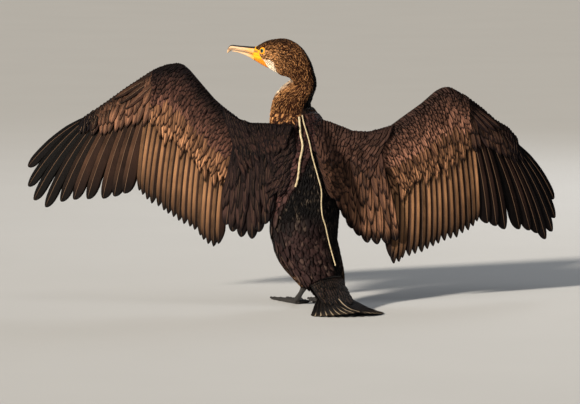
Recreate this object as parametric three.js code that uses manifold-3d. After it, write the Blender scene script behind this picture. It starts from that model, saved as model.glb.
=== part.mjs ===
// Great cormorant standing with its wings spread to dry, life size.
// Millimetres, +Z up. The back of the bird faces -Y, and its left wing reaches out to -X.
import * as THREE from 'three';
import Module from 'manifold-3d';
import { mergeVertices } from 'three/addons/utils/BufferGeometryUtils.js';
import { ParametricGeometry } from 'three/addons/geometries/ParametricGeometry.js';

const wasm = await Module();
wasm.setup();

// Gap between neighbouring pieces
const GAP = 0.3;

// Spine of the body from the tail root to the face: centre, then lateral, dorsal and ventral radius, then yaw
const SPINE = [
  [37.1, -18, 44.5, 34, 18, 20, 20],
  [23.0, 0, 69.4, 44, 31, 34, 20],
  [7.0, 20, 99.5, 53, 44, 47, 20],
  [-0.1, 38, 133.6, 60, 54, 56, 20],
  [-1.9, 55, 177.0, 65, 58, 62, 20],
  [-1.8, 70, 220.7, 66, 57, 62, 20],
  [-3.6, 86, 264.4, 62, 52, 58, 20],
  [-9.0, 99, 297.6, 54, 44, 50, 20],
  [-19.8, 109, 327.6, 45, 38, 42, 22],
  [-22.3, 110, 351.0, 38, 33, 37, 27],
  [-16.7, 108, 366.5, 32.5, 28, 32, 31],
  [-8.4, 106, 378.4, 27, 25, 28, 35],
  [-0.5, 104, 391.2, 21, 22, 23, 40],
  [-3.6, 103, 404.9, 20, 23, 23, 44],
  [-10.8, 104, 418.8, 20.5, 27, 27, 48],
  [-23.4, 108, 431.5, 20.5, 32, 32, 53],
  [-39.3, 116, 439.6, 19.5, 33, 32, 57],
  [-55.9, 126, 442.8, 18, 28, 28, 58],
  [-69.5, 134.5, 443.2, 15.5, 23.3, 23, 58],
  [-78.9, 140.5, 443.2, 12.5, 18, 18.3, 58],
  [-88.5, 146.5, 443.3, 9.5, 13, 13, 58],
];
const SPINE_STEPS = SPINE.length - 1;
const NECK_BASE = 8 / SPINE_STEPS;
const NECK_MIDDLE = 11.5 / SPINE_STEPS;
const HEAD_BACK = 14.6 / SPINE_STEPS;

// Heading of the body in plan, and its right-hand side
const HEADING = new THREE.Vector3(-0.34, 0.94, 0).normalize();
const RIGHT = new THREE.Vector3(0.94, 0.34, 0).normalize();

const UP = new THREE.Vector3(0, 0, 1);
const ACROSS = new THREE.Vector3(0, 1, 0);

const centreCurve = new THREE.CatmullRomCurve3(
  SPINE.map((s) => new THREE.Vector3(s[0], s[1], s[2])), false, 'catmullrom', 0.5);
const sizeCurve = new THREE.CatmullRomCurve3(
  SPINE.map((s) => new THREE.Vector3(s[3], s[4], s[5])), false, 'catmullrom', 0.5);
const yawCurve = new THREE.CatmullRomCurve3(
  SPINE.map((s) => new THREE.Vector3(s[6], 0, 0)), false, 'catmullrom', 0.5);

// Solids from geometry, and meshes from solids
function solidOf(geometry) {
  const bare = geometry.clone();
  bare.deleteAttribute('normal');
  bare.deleteAttribute('uv');
  const merged = mergeVertices(bare, 1e-4);
  const position = merged.attributes.position;
  const index = merged.index.array;
  const triangles = [];
  let volume = 0;
  const a = new THREE.Vector3();
  const b = new THREE.Vector3();
  const c = new THREE.Vector3();
  for (let i = 0; i < index.length; i += 3) {
    const [p, q, r] = [index[i], index[i + 1], index[i + 2]];
    if (p === q || q === r || r === p) continue;
    triangles.push(p, q, r);
    a.fromBufferAttribute(position, p);
    b.fromBufferAttribute(position, q);
    c.fromBufferAttribute(position, r);
    volume += a.dot(b.cross(c));
  }
  if (volume < 0) triangles.reverse();
  return new wasm.Manifold(new wasm.Mesh({
    numProp: 3,
    vertProperties: new Float32Array(position.array),
    triVerts: new Uint32Array(triangles),
  }));
}

function largestOf(solid) {
  const pieces = solid.decompose();
  let best = pieces[0];
  for (const piece of pieces) {
    if (piece.volume() > best.volume()) best = piece;
  }
  return best;
}

function unionOf(solids) {
  return wasm.Manifold.union(solids);
}

// A closed skin through rings of points, with both ends closed to their centres
function loft(rings) {
  const sides = rings[0].length;
  const ends = [rings[0], rings[rings.length - 1]].map((ring) => {
    const centre = new THREE.Vector3();
    for (const point of ring) centre.add(point);
    return centre.divideScalar(sides);
  });
  const rows = rings.length + 1;
  const surface = (u, v, target) => {
    const row = Math.round(v * rows);
    const side = Math.round(u * sides) % sides;
    if (row === 0) target.copy(ends[0]);
    else if (row === rows) target.copy(ends[1]);
    else target.copy(rings[row - 1][side]);
  };
  return solidOf(new ParametricGeometry(surface, sides, rows));
}

// Frame and surface of the body at a place along the spine
function bodyFrame(t) {
  const centre = centreCurve.getPoint(t);
  const along = centreCurve.getTangent(t);
  const size = sizeCurve.getPoint(t);
  const yaw = THREE.MathUtils.degToRad(yawCurve.getPoint(t).x);
  const lateral = new THREE.Vector3(Math.cos(yaw), Math.sin(yaw), 0);
  lateral.addScaledVector(along, -lateral.dot(along)).normalize();
  const dorsal = lateral.clone().cross(along);
  return { centre, along, size, lateral, dorsal };
}

function bodyRing(t, sides, grow = 0, slide = 0) {
  const f = bodyFrame(t);
  const ring = [];
  for (let i = 0; i < sides; i += 1) {
    const angle = (2 * Math.PI * i) / sides;
    const side = Math.cos(angle);
    const high = Math.sin(angle);
    const depth = high > 0 ? f.size.y : f.size.z;
    ring.push(f.centre.clone()
      .addScaledVector(f.lateral, side * (f.size.x + grow))
      .addScaledVector(f.dorsal, high * (depth + grow))
      .addScaledVector(f.along, slide));
  }
  return ring;
}

function bodyLoft(from, to, steps, sides, grow = 0) {
  const rings = [];
  for (let i = 0; i <= steps; i += 1) {
    const t = from + ((to - from) * i) / steps;
    const end = (i === 0 ? 1 : 0) - (i === steps ? 1 : 0);
    const slide = end * (grow > 0 ? -grow : GAP / 2);
    rings.push(bodyRing(t, sides, grow, slide));
  }
  return loft(rings);
}

// What is left of a solid beyond the plane across the spine at a place, on its head side or its tail side
function clipAt(solid, t, toHead) {
  const f = bodyFrame(t);
  const n = f.along.clone().multiplyScalar(toHead);
  return solid.trimByPlane([n.x, n.y, n.z], n.dot(f.centre) + GAP / 2);
}

// Tube of round sections along points, each with its own radii
function tube(points, radii, sides) {
  const curve = new THREE.CatmullRomCurve3(points, false, 'catmullrom', 0.5);
  const last = points.length - 1;
  return loft(points.map((point, i) => {
    const along = curve.getTangent(i / last);
    const side = ACROSS.clone().cross(along).normalize();
    const high = along.clone().cross(side).normalize();
    const ring = [];
    for (let k = 0; k < sides; k += 1) {
      const angle = (2 * Math.PI * k) / sides;
      ring.push(point.clone()
        .addScaledVector(side, Math.cos(angle) * radii[i])
        .addScaledVector(high, Math.sin(angle) * radii[i]));
    }
    return ring;
  }));
}

function vec(list) {
  return new THREE.Vector3(...list);
}

// Position along a polyline given as [x, z] points, by share of its length
function alongLine(points, share) {
  const lengths = [0];
  for (let i = 1; i < points.length; i += 1) {
    const step = Math.hypot(points[i][0] - points[i - 1][0], points[i][1] - points[i - 1][1]);
    lengths.push(lengths[i - 1] + step);
  }
  const target = Math.min(Math.max(share, 0), 1) * lengths[lengths.length - 1];
  let i = 1;
  while (i < points.length - 1 && lengths[i] < target) i += 1;
  const k = (target - lengths[i - 1]) / (lengths[i] - lengths[i - 1]);
  return [
    points[i - 1][0] + k * (points[i][0] - points[i - 1][0]),
    points[i - 1][1] + k * (points[i][1] - points[i - 1][1]),
  ];
}

// Torso, neck and head
const torsoWhole = clipAt(bodyLoft(0, NECK_BASE, 12, 24), NECK_BASE, -1);
const bodyGrown = unionOf([
  bodyLoft(0, NECK_BASE, 12, 24, GAP + 0.1),
  bodyLoft(NECK_BASE, NECK_MIDDLE, 5, 22, GAP + 0.1),
]);
const neckLower = clipAt(clipAt(bodyLoft(NECK_BASE, NECK_MIDDLE, 5, 22), NECK_BASE, 1), NECK_MIDDLE, -1);
const neckUpper = clipAt(clipAt(bodyLoft(NECK_MIDDLE, HEAD_BACK, 6, 22), NECK_MIDDLE, 1), HEAD_BACK, -1);
const headWhole = clipAt(bodyLoft(HEAD_BACK, 1, 9, 24), HEAD_BACK, 1);

// A vane: a thin closed blade along a line from root to tip, set in the space that place() gives
const VANE_AT = [0, 0.34, 0.7, 0.91, 1];
const VANE_WIDE = [0.45, 0.95, 1, 0.7, 0.16];
const VANE_THICK = [0.9, 0.85, 0.8, 0.7, 0.55];
function vane(place, root, tip, shape) {
  const { outer, inner, rise, tilt, bend, side, rows } = shape;
  const run = [tip[0] - root[0], tip[1] - root[1]];
  const length = Math.hypot(run[0], run[1]);
  const out = [(-run[1] / length) * side, (run[0] / length) * side];
  const stations = rows === 4 ? [0, 2, 3, 4] : [0, 1, 2, 3, 4];
  const points = [];
  for (const k of stations) {
    const s = VANE_AT[k];
    const drift = bend * length * s * (1 - s) * 4;
    for (const [edge, face] of [[-inner, 1], [outer, 1], [outer, -1], [-inner, -1]]) {
      const x = edge * VANE_WIDE[k];
      const height = rise[0] + (rise[1] - rise[0]) * s + tilt * x + (face * VANE_THICK[k]) / 2;
      points.push(place(
        root[0] + run[0] * s + out[0] * (x + drift),
        root[1] + run[1] * s + out[1] * (x + drift),
        height,
      ));
    }
  }
  const index = [0, 1, 2, 0, 2, 3];
  for (let k = 0; k < stations.length - 1; k += 1) {
    const p = 4 * k;
    const q = p + 4;
    index.push(p, q, q + 1, p, q + 1, p + 1);
    index.push(p + 3, q + 2, q + 3, p + 3, p + 2, q + 2);
    index.push(p + 1, q + 1, q + 2, p + 1, q + 2, p + 2);
    index.push(p, p + 3, q + 3, p, q + 3, q);
  }
  const e = 4 * (stations.length - 1);
  index.push(e, e + 2, e + 1, e, e + 3, e + 2);
  const geometry = new THREE.BufferGeometry().setFromPoints(points);
  geometry.setIndex(index);
  return solidOf(geometry);
}

// Wings, each as a sheet whose depth is given over the plane that the wing is spread in
const WINGS = {
  left: {
    side: -1,
    depth: (x, z) => sheetDepth(-(x + 59), z, 52, 0.02, 0.00025),
    lead: [[-30, 318], [-59, 324], [-97, 324.5], [-118, 331.5], [-138, 346], [-162, 366.4], [-183, 390],
      [-206, 416.5], [-217, 426], [-228, 429.8], [-250, 426.4], [-274, 416.5]],
    handLead: [[-240, 428], [-250, 426.4], [-274, 416.5], [-320, 386.7], [-366, 353.7], [-404, 328]],
    quillRow: [[-100, 262], [-147, 274.8], [-179, 299.2], [-212, 327], [-244, 355], [-277, 381]],
    handRow: [[-262, 379], [-320, 361.3], [-372, 341.3], [-398, 326]],
    secondaryTips: [[-152, 116], [-160, 107], [-170, 105.5], [-180, 117], [-191, 130], [-209, 142],
      [-224, 149], [-242, 161], [-260, 172.6], [-285, 188.4], [-303, 208]],
    primaryTips: [[-324.6, 198.6], [-342.6, 193], [-363, 189], [-390.8, 187.7], [-415.6, 186.4],
      [-439, 182.4], [-467, 172], [-488, 184], [-498.4, 208.2], [-499, 243]],
    coverTips: [[-118, 197], [-152, 209.7], [-183, 232.4], [-220.5, 265.5], [-262, 302], [-280, 318]],
    handCoverTips: [[-278, 322], [-303.6, 317.4], [-329, 309.2], [-356, 301.7], [-385, 300], [-410, 304]],
    alula: [[[-262, 402], [-322, 347]], [[-270, 404], [-334, 356]], [[-278, 405], [-345, 364]]],
    flapRoots: [[-128, 290], [-104, 291], [-82, 296], [-64, 298], [-47, 298]],
    flapTips: [[-146, 153], [-136, 135], [-116, 124], [-96, 121.5], [-76, 136.5], [-66, 160], [-62, 186]],
    elbow: [[-118.5, 338.1], [-159.2, 100.1]],
    wrist: [[-259.3, 434.3], [-302.1, 204.8]],
    counts: { primary: 10, secondary: 17, hand: 7, greater: 11, median: 9, lesser: 7 },
  },
  right: {
    side: 1,
    depth: (x, z) => sheetDepth(x - 52, z, 96, 0.18, 0.0006),
    lead: [[30, 306], [67, 308], [88, 304], [117, 304.7], [144, 311.6], [154, 314], [177, 330], [210, 352],
      [237, 374], [251, 380.4], [264, 380.4], [295, 362.4]],
    handLead: [[262, 380], [272, 375], [295, 362.4], [322, 342], [346, 320], [370, 305.4], [390, 283]],
    quillRow: [[120, 228], [171, 251], [203, 268], [234, 286.6], [265, 303.4], [301, 321.7]],
    handRow: [[292, 322], [334, 299], [366, 281.6], [386, 268]],
    secondaryTips: [[154, 84], [162, 66], [171, 72], [179, 80], [196, 84], [216, 89.5], [243, 101.5],
      [276, 113], [301, 125], [317, 142]],
    primaryTips: [[332.4, 134], [348.6, 128.2], [364.7, 121.6], [392.3, 120], [411.7, 116.8], [426, 111],
      [441.4, 99], [454, 112], [459.3, 136.4], [457.5, 170.5]],
    coverTips: [[128, 176], [169.6, 182], [202.4, 202.4], [244.6, 224], [296.4, 248.8], [310, 256]],
    handCoverTips: [[306, 262], [331, 266], [346.7, 261], [363.5, 253], [389.7, 239], [400, 246]],
    alula: [[[288, 348], [340, 292]], [[295, 348], [350, 298]], [[302, 347], [360, 302]]],
    flapRoots: [[136, 268], [106, 276], [78, 280], [52, 288], [30, 292]],
    flapTips: [[172, 117], [159, 106], [138.6, 105], [114.8, 106], [98, 121], [86, 136], [75, 155],
      [67, 174]],
    elbow: [[169.3, 334.6], [164.0, 60.7]],
    wrist: [[288.1, 377.5], [315.7, 135.1]],
    counts: { primary: 10, secondary: 17, hand: 7, greater: 11, median: 9, lesser: 7 },
  },
};

function sheetDepth(out, z, start, sweep, cup) {
  const hang = Math.max(0, 300 - z);
  return start + sweep * out + cup * out * out + 0.3 * (z - 300) + 0.00045 * hang * hang;
}

// Depth of the back surface, as a rounded gutter that follows the spine
function backDepth(x, z) {
  let i = 0;
  while (i < 7 && SPINE[i + 1][2] < z) i += 1;
  const k = (z - SPINE[i][2]) / (SPINE[i + 1][2] - SPINE[i][2]);
  const mix = (n) => SPINE[i][n] + k * (SPINE[i + 1][n] - SPINE[i][n]);
  const radius = mix(4) / 0.9;
  const across = x - mix(0);
  return mix(1) - radius + (across * across) / (2 * radius) + across ** 4 / (8 * radius ** 3);
}

// Depth of the flap of long shoulder feathers, which lies on the wing and on the back
function flapDepth(wing, x, z) {
  const onWing = wing.depth(x, z) - 9;
  const onBack = backDepth(x, z) - 4.5;
  const blend = 6;
  return -blend * Math.log(Math.exp(-onWing / blend) + Math.exp(-onBack / blend));
}

// Half thickness of the arm under the feathers, by distance from its front edge
const ARM_AT = [0, 5, 15, 32, 56, 100];
const ARM_HALF = [1.5, 7, 9.2, 8.2, 5, 1.2];
const HAND_AT = [0, 4, 12, 28, 52];
const HAND_HALF = [1.2, 4.6, 5.4, 3.6, 1.2];

function slab(place, front, back, halves, steps, swell) {
  const rings = [];
  for (let i = 0; i <= steps; i += 1) {
    const share = i / steps;
    const [ax, az] = alongLine(front, share);
    const [bx, bz] = alongLine(back, share);
    const top = [];
    const bottom = [];
    const last = halves.length - 1;
    for (let k = 0; k <= last; k += 1) {
      const q = halves[k][0];
      const x = ax + (bx - ax) * q;
      const z = az + (bz - az) * q;
      const half = halves[k][1] * swell(share);
      top.push(place(x, z, half));
      bottom.unshift(place(x, z, -half));
    }
    rings.push([...top, ...bottom]);
  }
  return loft(rings);
}

function tier(place, count, rootAt, tipAt, shape) {
  const vanes = [];
  for (let i = 0; i < count; i += 1) {
    const share = (i + 0.5) / count;
    vanes.push(vane(place, rootAt(share), tipAt(share), shape));
  }
  return vanes;
}

function between(a, b, k) {
  return [a[0] + (b[0] - a[0]) * k, a[1] + (b[1] - a[1]) * k];
}

function wingWhole(wing) {
  const { side, counts } = wing;
  const place = (x, z, height) => new THREE.Vector3(x, wing.depth(x, z) - height, z);
  const onFlap = (x, z, height) => new THREE.Vector3(x, flapDepth(wing, x, z) - height, z);
  const front = (u) => alongLine(wing.lead, 0.12 + 0.88 * u);
  const quill = (u) => alongLine(wing.quillRow, u);
  const cover = (u) => alongLine(wing.coverTips, u);
  const normal = (list, span) => list.map(([q, half]) => [q / span, half]);
  const arm = ARM_AT.map((q, i) => [q, ARM_HALF[i]]);
  const hand = HAND_AT.map((q, i) => [q, HAND_HALF[i]]);
  const solids = [
    slab(place, wing.lead, wing.quillRow, normal(arm, 78), 9, (u) => 1 + 1.1 * Math.max(0, 1 - 3 * u)),
    slab(place, wing.handLead, wing.handRow, normal(hand, 42), 7, (u) => 1 - 0.55 * u),
    slab(onFlap, alongAll(wing.lead, 0, 0.45, 5), wing.flapRoots.slice().reverse(),
      [[-0.1, 1], [0.3, 4.4], [0.9, 4.6], [1.45, 1.4]], 6, () => 1),
  ];
  const flight = { outer: 8, inner: 16, rise: [0, 0], tilt: 0.16, bend: 0.02, side, rows: 5 };
  for (let i = 0; i < counts.primary; i += 1) {
    const u = (i + 0.5) / counts.primary;
    const root = alongLine(wing.handRow, u * 0.96);
    const slim = 1 - 0.25 * u;
    const shape = { ...flight, outer: 8 * slim, inner: 17 * slim, bend: 0.03 + 0.03 * u };
    const inset = between(root, alongLine(wing.handLead, 0.1 + 0.88 * u), 0.3);
    solids.push(vane(place, inset, wing.primaryTips[i], shape));
  }
  const inward = (u) => between(quill(u), front(u), 0.2);
  solids.push(...tier(place, counts.secondary, (u) => inward(0.18 + 0.82 * u),
    (u) => alongLine(wing.secondaryTips, u), { ...flight, outer: 6.5, inner: 13, rows: 4 }));
  const cov = { outer: 7, inner: 9, tilt: 0.12, bend: 0.01, side, rows: 4 };
  solids.push(...tier(place, counts.hand,
    (u) => between(alongLine(wing.handLead, 0.08 + 0.86 * u), alongLine(wing.handRow, u), 0.75),
    (u) => alongLine(wing.handCoverTips, u), { ...cov, rise: [1.4, 3.5] }));
  for (const [root, tip] of wing.alula) {
    solids.push(vane(place, root, tip, { ...cov, outer: 5, inner: 7, rise: [3.2, 7.4] }));
  }
  solids.push(...tier(place, counts.greater, (u) => quill(0.12 + 0.88 * u),
    cover, { ...cov, rise: [1.9, 3.6] }));
  const part = (u, k) => between(front(u), cover(u), k);
  solids.push(...tier(place, counts.median, (u) => part(u, 0.42), (u) => part(u, 0.78),
    { ...cov, rise: [3.9, 6.1] }));
  solids.push(...tier(place, counts.lesser, (u) => part(u, 0.22), (u) => part(u, 0.54),
    { ...cov, outer: 8, inner: 10, rise: [6.2, 8.0] }));
  const flapRoot = (u) => alongLine(wing.flapRoots, u);
  const flapTip = (u) => alongLine(wing.flapTips, u);
  const flap = { outer: 11, inner: 13, tilt: 0.11, bend: 0.01, side, rows: 5 };
  solids.push(...tier(onFlap, 8, flapRoot, flapTip, { ...flap, rise: [0, 0] }));
  solids.push(...tier(onFlap, 5, (u) => between(flapRoot(u), flapTip(u), -0.12),
    (u) => between(flapRoot(u), flapTip(u), 0.55),
    { ...flap, outer: 12, inner: 14, rows: 4, rise: [2.6, 4.4] }));
  return unionOf(solids);
}

function alongAll(line, from, to, count) {
  const points = [];
  for (let i = 0; i <= count; i += 1) points.push(alongLine(line, from + ((to - from) * i) / count));
  return points;
}

// Plane through two [x, z] points and along Y: the part of a solid on its outer or its inner side
function sideOf(solid, line, outward) {
  const [a, b] = line;
  const length = Math.hypot(b[0] - a[0], b[1] - a[1]);
  let nx = (b[1] - a[1]) / length;
  let nz = -(b[0] - a[0]) / length;
  if (nx * outward < 0) {
    nx = -nx;
    nz = -nz;
  }
  return solid.trimByPlane([nx, 0, nz], nx * a[0] + nz * a[1] + GAP / 2);
}

function wingNodes(wing) {
  const whole = wingWhole(wing);
  const inner = sideOf(whole, wing.elbow, -wing.side);
  const outerPart = sideOf(whole, wing.elbow, wing.side);
  return {
    shoulder: inner.subtract(bodyGrown),
    forearm: sideOf(outerPart, wing.wrist, -wing.side),
    hand: sideOf(outerPart, wing.wrist, wing.side),
  };
}

const leftWing = wingNodes(WINGS.left);
const rightWing = wingNodes(WINGS.right);

// Tail, spread on the level of the soles: a rump that narrows, and stiff feathers with the middle pair on top
const TAIL_LENGTH = 155;
const TAIL_FEATHERS = 14;
const TAIL_RUN = HEADING.clone().negate();
const TAIL_AT = [0, 25, 50, 75, 95, 115, 170];
const TAIL_HEIGHT = [44.5, 29, 15.5, 6.4, 2.2, 0.25, 0.25];
function tailHeight(run) {
  let i = 0;
  while (i < TAIL_AT.length - 2 && TAIL_AT[i + 1] < run) i += 1;
  const k = (run - TAIL_AT[i]) / (TAIL_AT[i + 1] - TAIL_AT[i]);
  return TAIL_HEIGHT[i] + k * (TAIL_HEIGHT[i + 1] - TAIL_HEIGHT[i]);
}
function onTail(run, across, height) {
  const root = centreCurve.getPoint(0);
  return new THREE.Vector3(root.x, root.y, 0)
    .addScaledVector(TAIL_RUN, run)
    .addScaledVector(RIGHT, across)
    .addScaledVector(UP, tailHeight(run) + height);
}
function tailWhole() {
  const rows = [[12, 31, 14.5, -1.5], [28, 30, 10.5, 0.5], [46, 29, 6.5, 3], [66, 26, 2.6, 4.4]];
  const rings = [bodyRing(0, 16, 0, -GAP / 2)];
  for (const [run, half, thick, height] of rows) {
    const ring = [];
    for (let i = 0; i < 16; i += 1) {
      const angle = (2 * Math.PI * i) / 16;
      ring.push(onTail(run, Math.cos(angle) * half, height + Math.sin(angle) * thick));
    }
    rings.push(ring);
  }
  const solids = [loft(rings)];
  const middle = (TAIL_FEATHERS - 1) / 2;
  for (let i = 0; i < TAIL_FEATHERS; i += 1) {
    const off = (i - middle) / middle;
    const layer = (middle - Math.abs(i - middle)) * 1.25 + (i === middle + 0.5 ? 1.25 : 0);
    const length = TAIL_LENGTH - 38 * off * off;
    const root = [34, off * 22];
    const tip = [length, off * (22 + 0.36 * length)];
    solids.push(vane(onTail, root, tip,
      { outer: 9, inner: 9, rise: [layer, layer], tilt: 0, bend: 0, side: 1, rows: 5 }));
  }
  return unionOf(solids).trimByPlane([0, 0, 1], 0);
}
const tail = clipAt(tailWhole(), 0, -1);

// Legs and feet
const HOCK = [-2, -16, 36];
const TOE_ROOT = [-14, 38, 9];
const MIRROR_AT = 28.4;
function mirrored(point, at = MIRROR_AT) {
  const shift = 2 * (at - RIGHT.x * point[0] - RIGHT.y * point[1]);
  return [point[0] + shift * RIGHT.x, point[1] + shift * RIGHT.y, point[2]];
}
// Middle of the body at a height, as its distance to the right
function middleAt(z) {
  if (z < SPINE[0][2]) return MIRROR_AT;
  let i = 0;
  while (i < 7 && SPINE[i + 1][2] < z) i += 1;
  const k = (z - SPINE[i][2]) / (SPINE[i + 1][2] - SPINE[i][2]);
  const x = SPINE[i][0] + k * (SPINE[i + 1][0] - SPINE[i][0]);
  const y = SPINE[i][1] + k * (SPINE[i + 1][1] - SPINE[i][1]);
  return RIGHT.x * x + RIGHT.y * y;
}
const THIGH = [[-38, 41, 150], [-38, 32, 128], [-34, 24, 108], [-26, 13, 84], [-14, -1.5, 60],
  [-4, -12.5, 42]];
const THIGH_RADII = [12, 20, 23, 20, 12.5, 6.5];
const TARSUS = [HOCK, [-8, 11, 22.5], TOE_ROOT];
const TOES = [[32, 92], [14, 80], [-8, 60], [-48, 32]];

function beyond(solid, at, direction) {
  return solid.trimByPlane([direction.x, direction.y, direction.z], direction.dot(at) + GAP / 2);
}
function tarsusLine(side) {
  const points = (side > 0 ? TARSUS.map((p) => mirrored(p)) : TARSUS).map(vec);
  const down = points[2].clone().sub(points[0]).normalize();
  const top = points[0].clone().addScaledVector(down, 2);
  const bottom = points[2].clone().addScaledVector(down, -5);
  return { points, down, top, bottom };
}
function thigh(side) {
  const points = (side > 0 ? THIGH.map((p) => mirrored(p, middleAt(p[2]))) : THIGH).map(vec);
  const line = tarsusLine(side);
  points.push(line.points[0]);
  const whole = tube(points, [...THIGH_RADII, 6], 14).subtract(bodyGrown);
  return beyond(whole, line.top, line.down.clone().negate());
}
function tarsus(side) {
  const line = tarsusLine(side);
  line.points[0].addScaledVector(line.down, -2);
  const whole = tube(line.points, [5.4, 4.2, 5.5], 10);
  return beyond(beyond(whole, line.top, line.down), line.bottom, line.down.clone().negate());
}
function foot(side) {
  const root = vec(side > 0 ? mirrored(TOE_ROOT) : TOE_ROOT);
  const turn = side > 0 ? 12 : 0;
  const line = tarsusLine(side);
  const solids = [tube([line.bottom.clone().addScaledVector(line.down, -3), line.points[2],
    root.clone().setZ(3)], [5.2, 6, 4], 10)];
  const tips = TOES.map(([angle, length]) => {
    const left = THREE.MathUtils.degToRad(side > 0 ? 40 - angle - turn : angle);
    const direction = new THREE.Vector3(-Math.sin(left), Math.cos(left), 0);
    const from = root.clone().setZ(4.5);
    const middle = root.clone().addScaledVector(direction, length * 0.5).setZ(3.2);
    const tip = root.clone().addScaledVector(direction, length).setZ(1.6);
    solids.push(tube([from, middle, tip], [5.5, 4.0, 2.0], 8));
    return tip;
  });
  for (let i = 0; i < 3; i += 1) {
    const outline = [root, tips[i], tips[i + 1]];
    const shape = new THREE.Shape(outline.map((p) => new THREE.Vector2(p.x, p.y)));
    const web = new THREE.ExtrudeGeometry(shape, { depth: 1.4, bevelEnabled: false });
    web.translate(0, 0, 0.2);
    solids.push(solidOf(web));
  }
  return beyond(unionOf(solids), line.bottom, line.down).trimByPlane([0, 0, 1], 0);
}

// Bill, in the frame of the face
const FACE = bodyFrame(1);
const FACE_ALONG = new THREE.Vector3(-0.848, 0.53, 0).normalize();
const FACE_SIDE = new THREE.Vector3(0.53, 0.848, 0).normalize();
const BILL_UPPER = [[0.3, 12.8, -1.9, 9], [10, 12.6, 0.6, 7.6], [20, 13, 2.4, 6.4], [32, 13.3, 3.8, 5.2],
  [44, 14, 5, 4.6], [51, 14.2, 4.6, 4.2], [56, 12.3, 2.2, 3.4], [60, 7.5, -0.5, 2.2], [61.5, 1.5, -1.3, 1.2]];
const BILL_LOWER = [[0.3, -2.5, -13, 8.5], [10, 0, -8.2, 6.6], [20, 1.8, -4.4, 5.4], [32, 3.2, -0.6, 4.2],
  [44, 4.4, 1.4, 3.2], [50.5, 3.9, 2.3, 2]];
function billLoft(rows) {
  return loft(rows.map(([run, top, bottom, half]) => {
    const ring = [];
    for (let i = 0; i < 14; i += 1) {
      const angle = (2 * Math.PI * i) / 14;
      ring.push(FACE.centre.clone()
        .addScaledVector(FACE_ALONG, run)
        .addScaledVector(FACE_SIDE, Math.cos(angle) * half)
        .addScaledVector(UP, (top + bottom) / 2 + (Math.sin(angle) * (top - bottom)) / 2));
    }
    return ring;
  }));
}

// Eyes, set into the head
const EYE_RADIUS = 5.4;
function eyeAt(side) {
  const f = bodyFrame(18.0 / SPINE_STEPS);
  return f.centre.clone()
    .addScaledVector(f.lateral, side * (f.size.x - 4.1))
    .addScaledVector(f.dorsal, 6.5);
}
function eyeBall(side, radius) {
  const ball = new THREE.SphereGeometry(radius, 14, 8);
  const at = eyeAt(side);
  ball.translate(at.x, at.y, at.z);
  return solidOf(ball);
}
function lid(side) {
  const ring = new THREE.TorusGeometry(EYE_RADIUS * 0.86, 1.15, 5, 16);
  ring.rotateX(Math.PI / 2);
  ring.rotateZ(Math.atan2(FACE_SIDE.y, FACE_SIDE.x) + Math.PI / 2);
  const at = eyeAt(side).addScaledVector(FACE_SIDE, side * 2.9);
  ring.translate(at.x, at.y, at.z);
  return solidOf(ring);
}
function mouthLine() {
  const cut = new THREE.BoxGeometry(26, 60, 0.9);
  cut.rotateY(-0.16);
  cut.rotateZ(Math.atan2(FACE_ALONG.y, FACE_ALONG.x));
  const at = FACE.centre.clone().addScaledVector(FACE_ALONG, -10).addScaledVector(UP, -3.6);
  cut.translate(at.x, at.y, at.z);
  return solidOf(cut).subtract(bodyLoft(HEAD_BACK, 1, 9, 24, -1.1));
}
const head = headWhole.subtract(mouthLine()).add(lid(-1)).add(lid(1))
  .subtract(eyeBall(-1, EYE_RADIUS + GAP)).subtract(eyeBall(1, EYE_RADIUS + GAP));

// Cords of twine that lie along the back
const TWINE = {
  short: {
    diameter: 4,
    rows: [[7.7, -8], [7.2, -13], [6.6, -17], [6, -18], [5.4, -25], [4.8, -29], [4.4, -33]],
  },
  long: {
    diameter: 2.4,
    rows: [[7.8, -1], [7.2, -5], [6.3, -5], [5.7, -3.6], [5.3, 0], [4.8, 6], [4.3, 12], [3.7, 12],
      [3.2, 14.5], [2.7, 20], [2.2, 22.5], [1.5, 22.5], [0.5, 20]],
  },
};
function backPoint(station, across, lift) {
  const f = bodyFrame(station / SPINE_STEPS);
  const share = Math.min(0.97, Math.abs(across) / f.size.x);
  const height = f.size.y * Math.sqrt(1 - share * share);
  const out = f.lateral.clone().multiplyScalar(across / f.size.x ** 2)
    .addScaledVector(f.dorsal, height / f.size.y ** 2).normalize();
  return f.centre.clone().addScaledVector(f.lateral, across).addScaledVector(f.dorsal, height)
    .addScaledVector(out, lift);
}
function cord({ diameter, rows }) {
  const points = rows.map(([station, across]) => backPoint(station, across, diameter / 2 + 1));
  const curve = new THREE.CatmullRomCurve3(points, false, 'catmullrom', 0.5);
  const section = new THREE.Shape();
  section.absarc(0, 0, diameter / 2, 0, Math.PI * 2, false);
  const steps = Math.round(curve.getLength() / (diameter * 3.6));
  const shape = new THREE.Shape(section.getPoints(4).slice(0, 8));
  return solidOf(new THREE.ExtrudeGeometry(shape, { steps, extrudePath: curve, bevelEnabled: false }));
}

// Finishes
const FINISH = {
  black: { color: 0x14181a, roughness: 0.55, metalness: 0 },
  bronze: { color: 0x4a3f33, roughness: 0.6, metalness: 0 },
  brown: { color: 0x3b332c, roughness: 0.75, metalness: 0 },
  horn: { color: 0xb9b09a, roughness: 0.4, metalness: 0 },
  skin: { color: 0x17181a, roughness: 0.45, metalness: 0 },
  eye: { color: 0x2f8f80, roughness: 0.08, metalness: 0 },
  straw: { color: 0xd8cdb0, roughness: 0.9, metalness: 0 },
};

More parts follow.
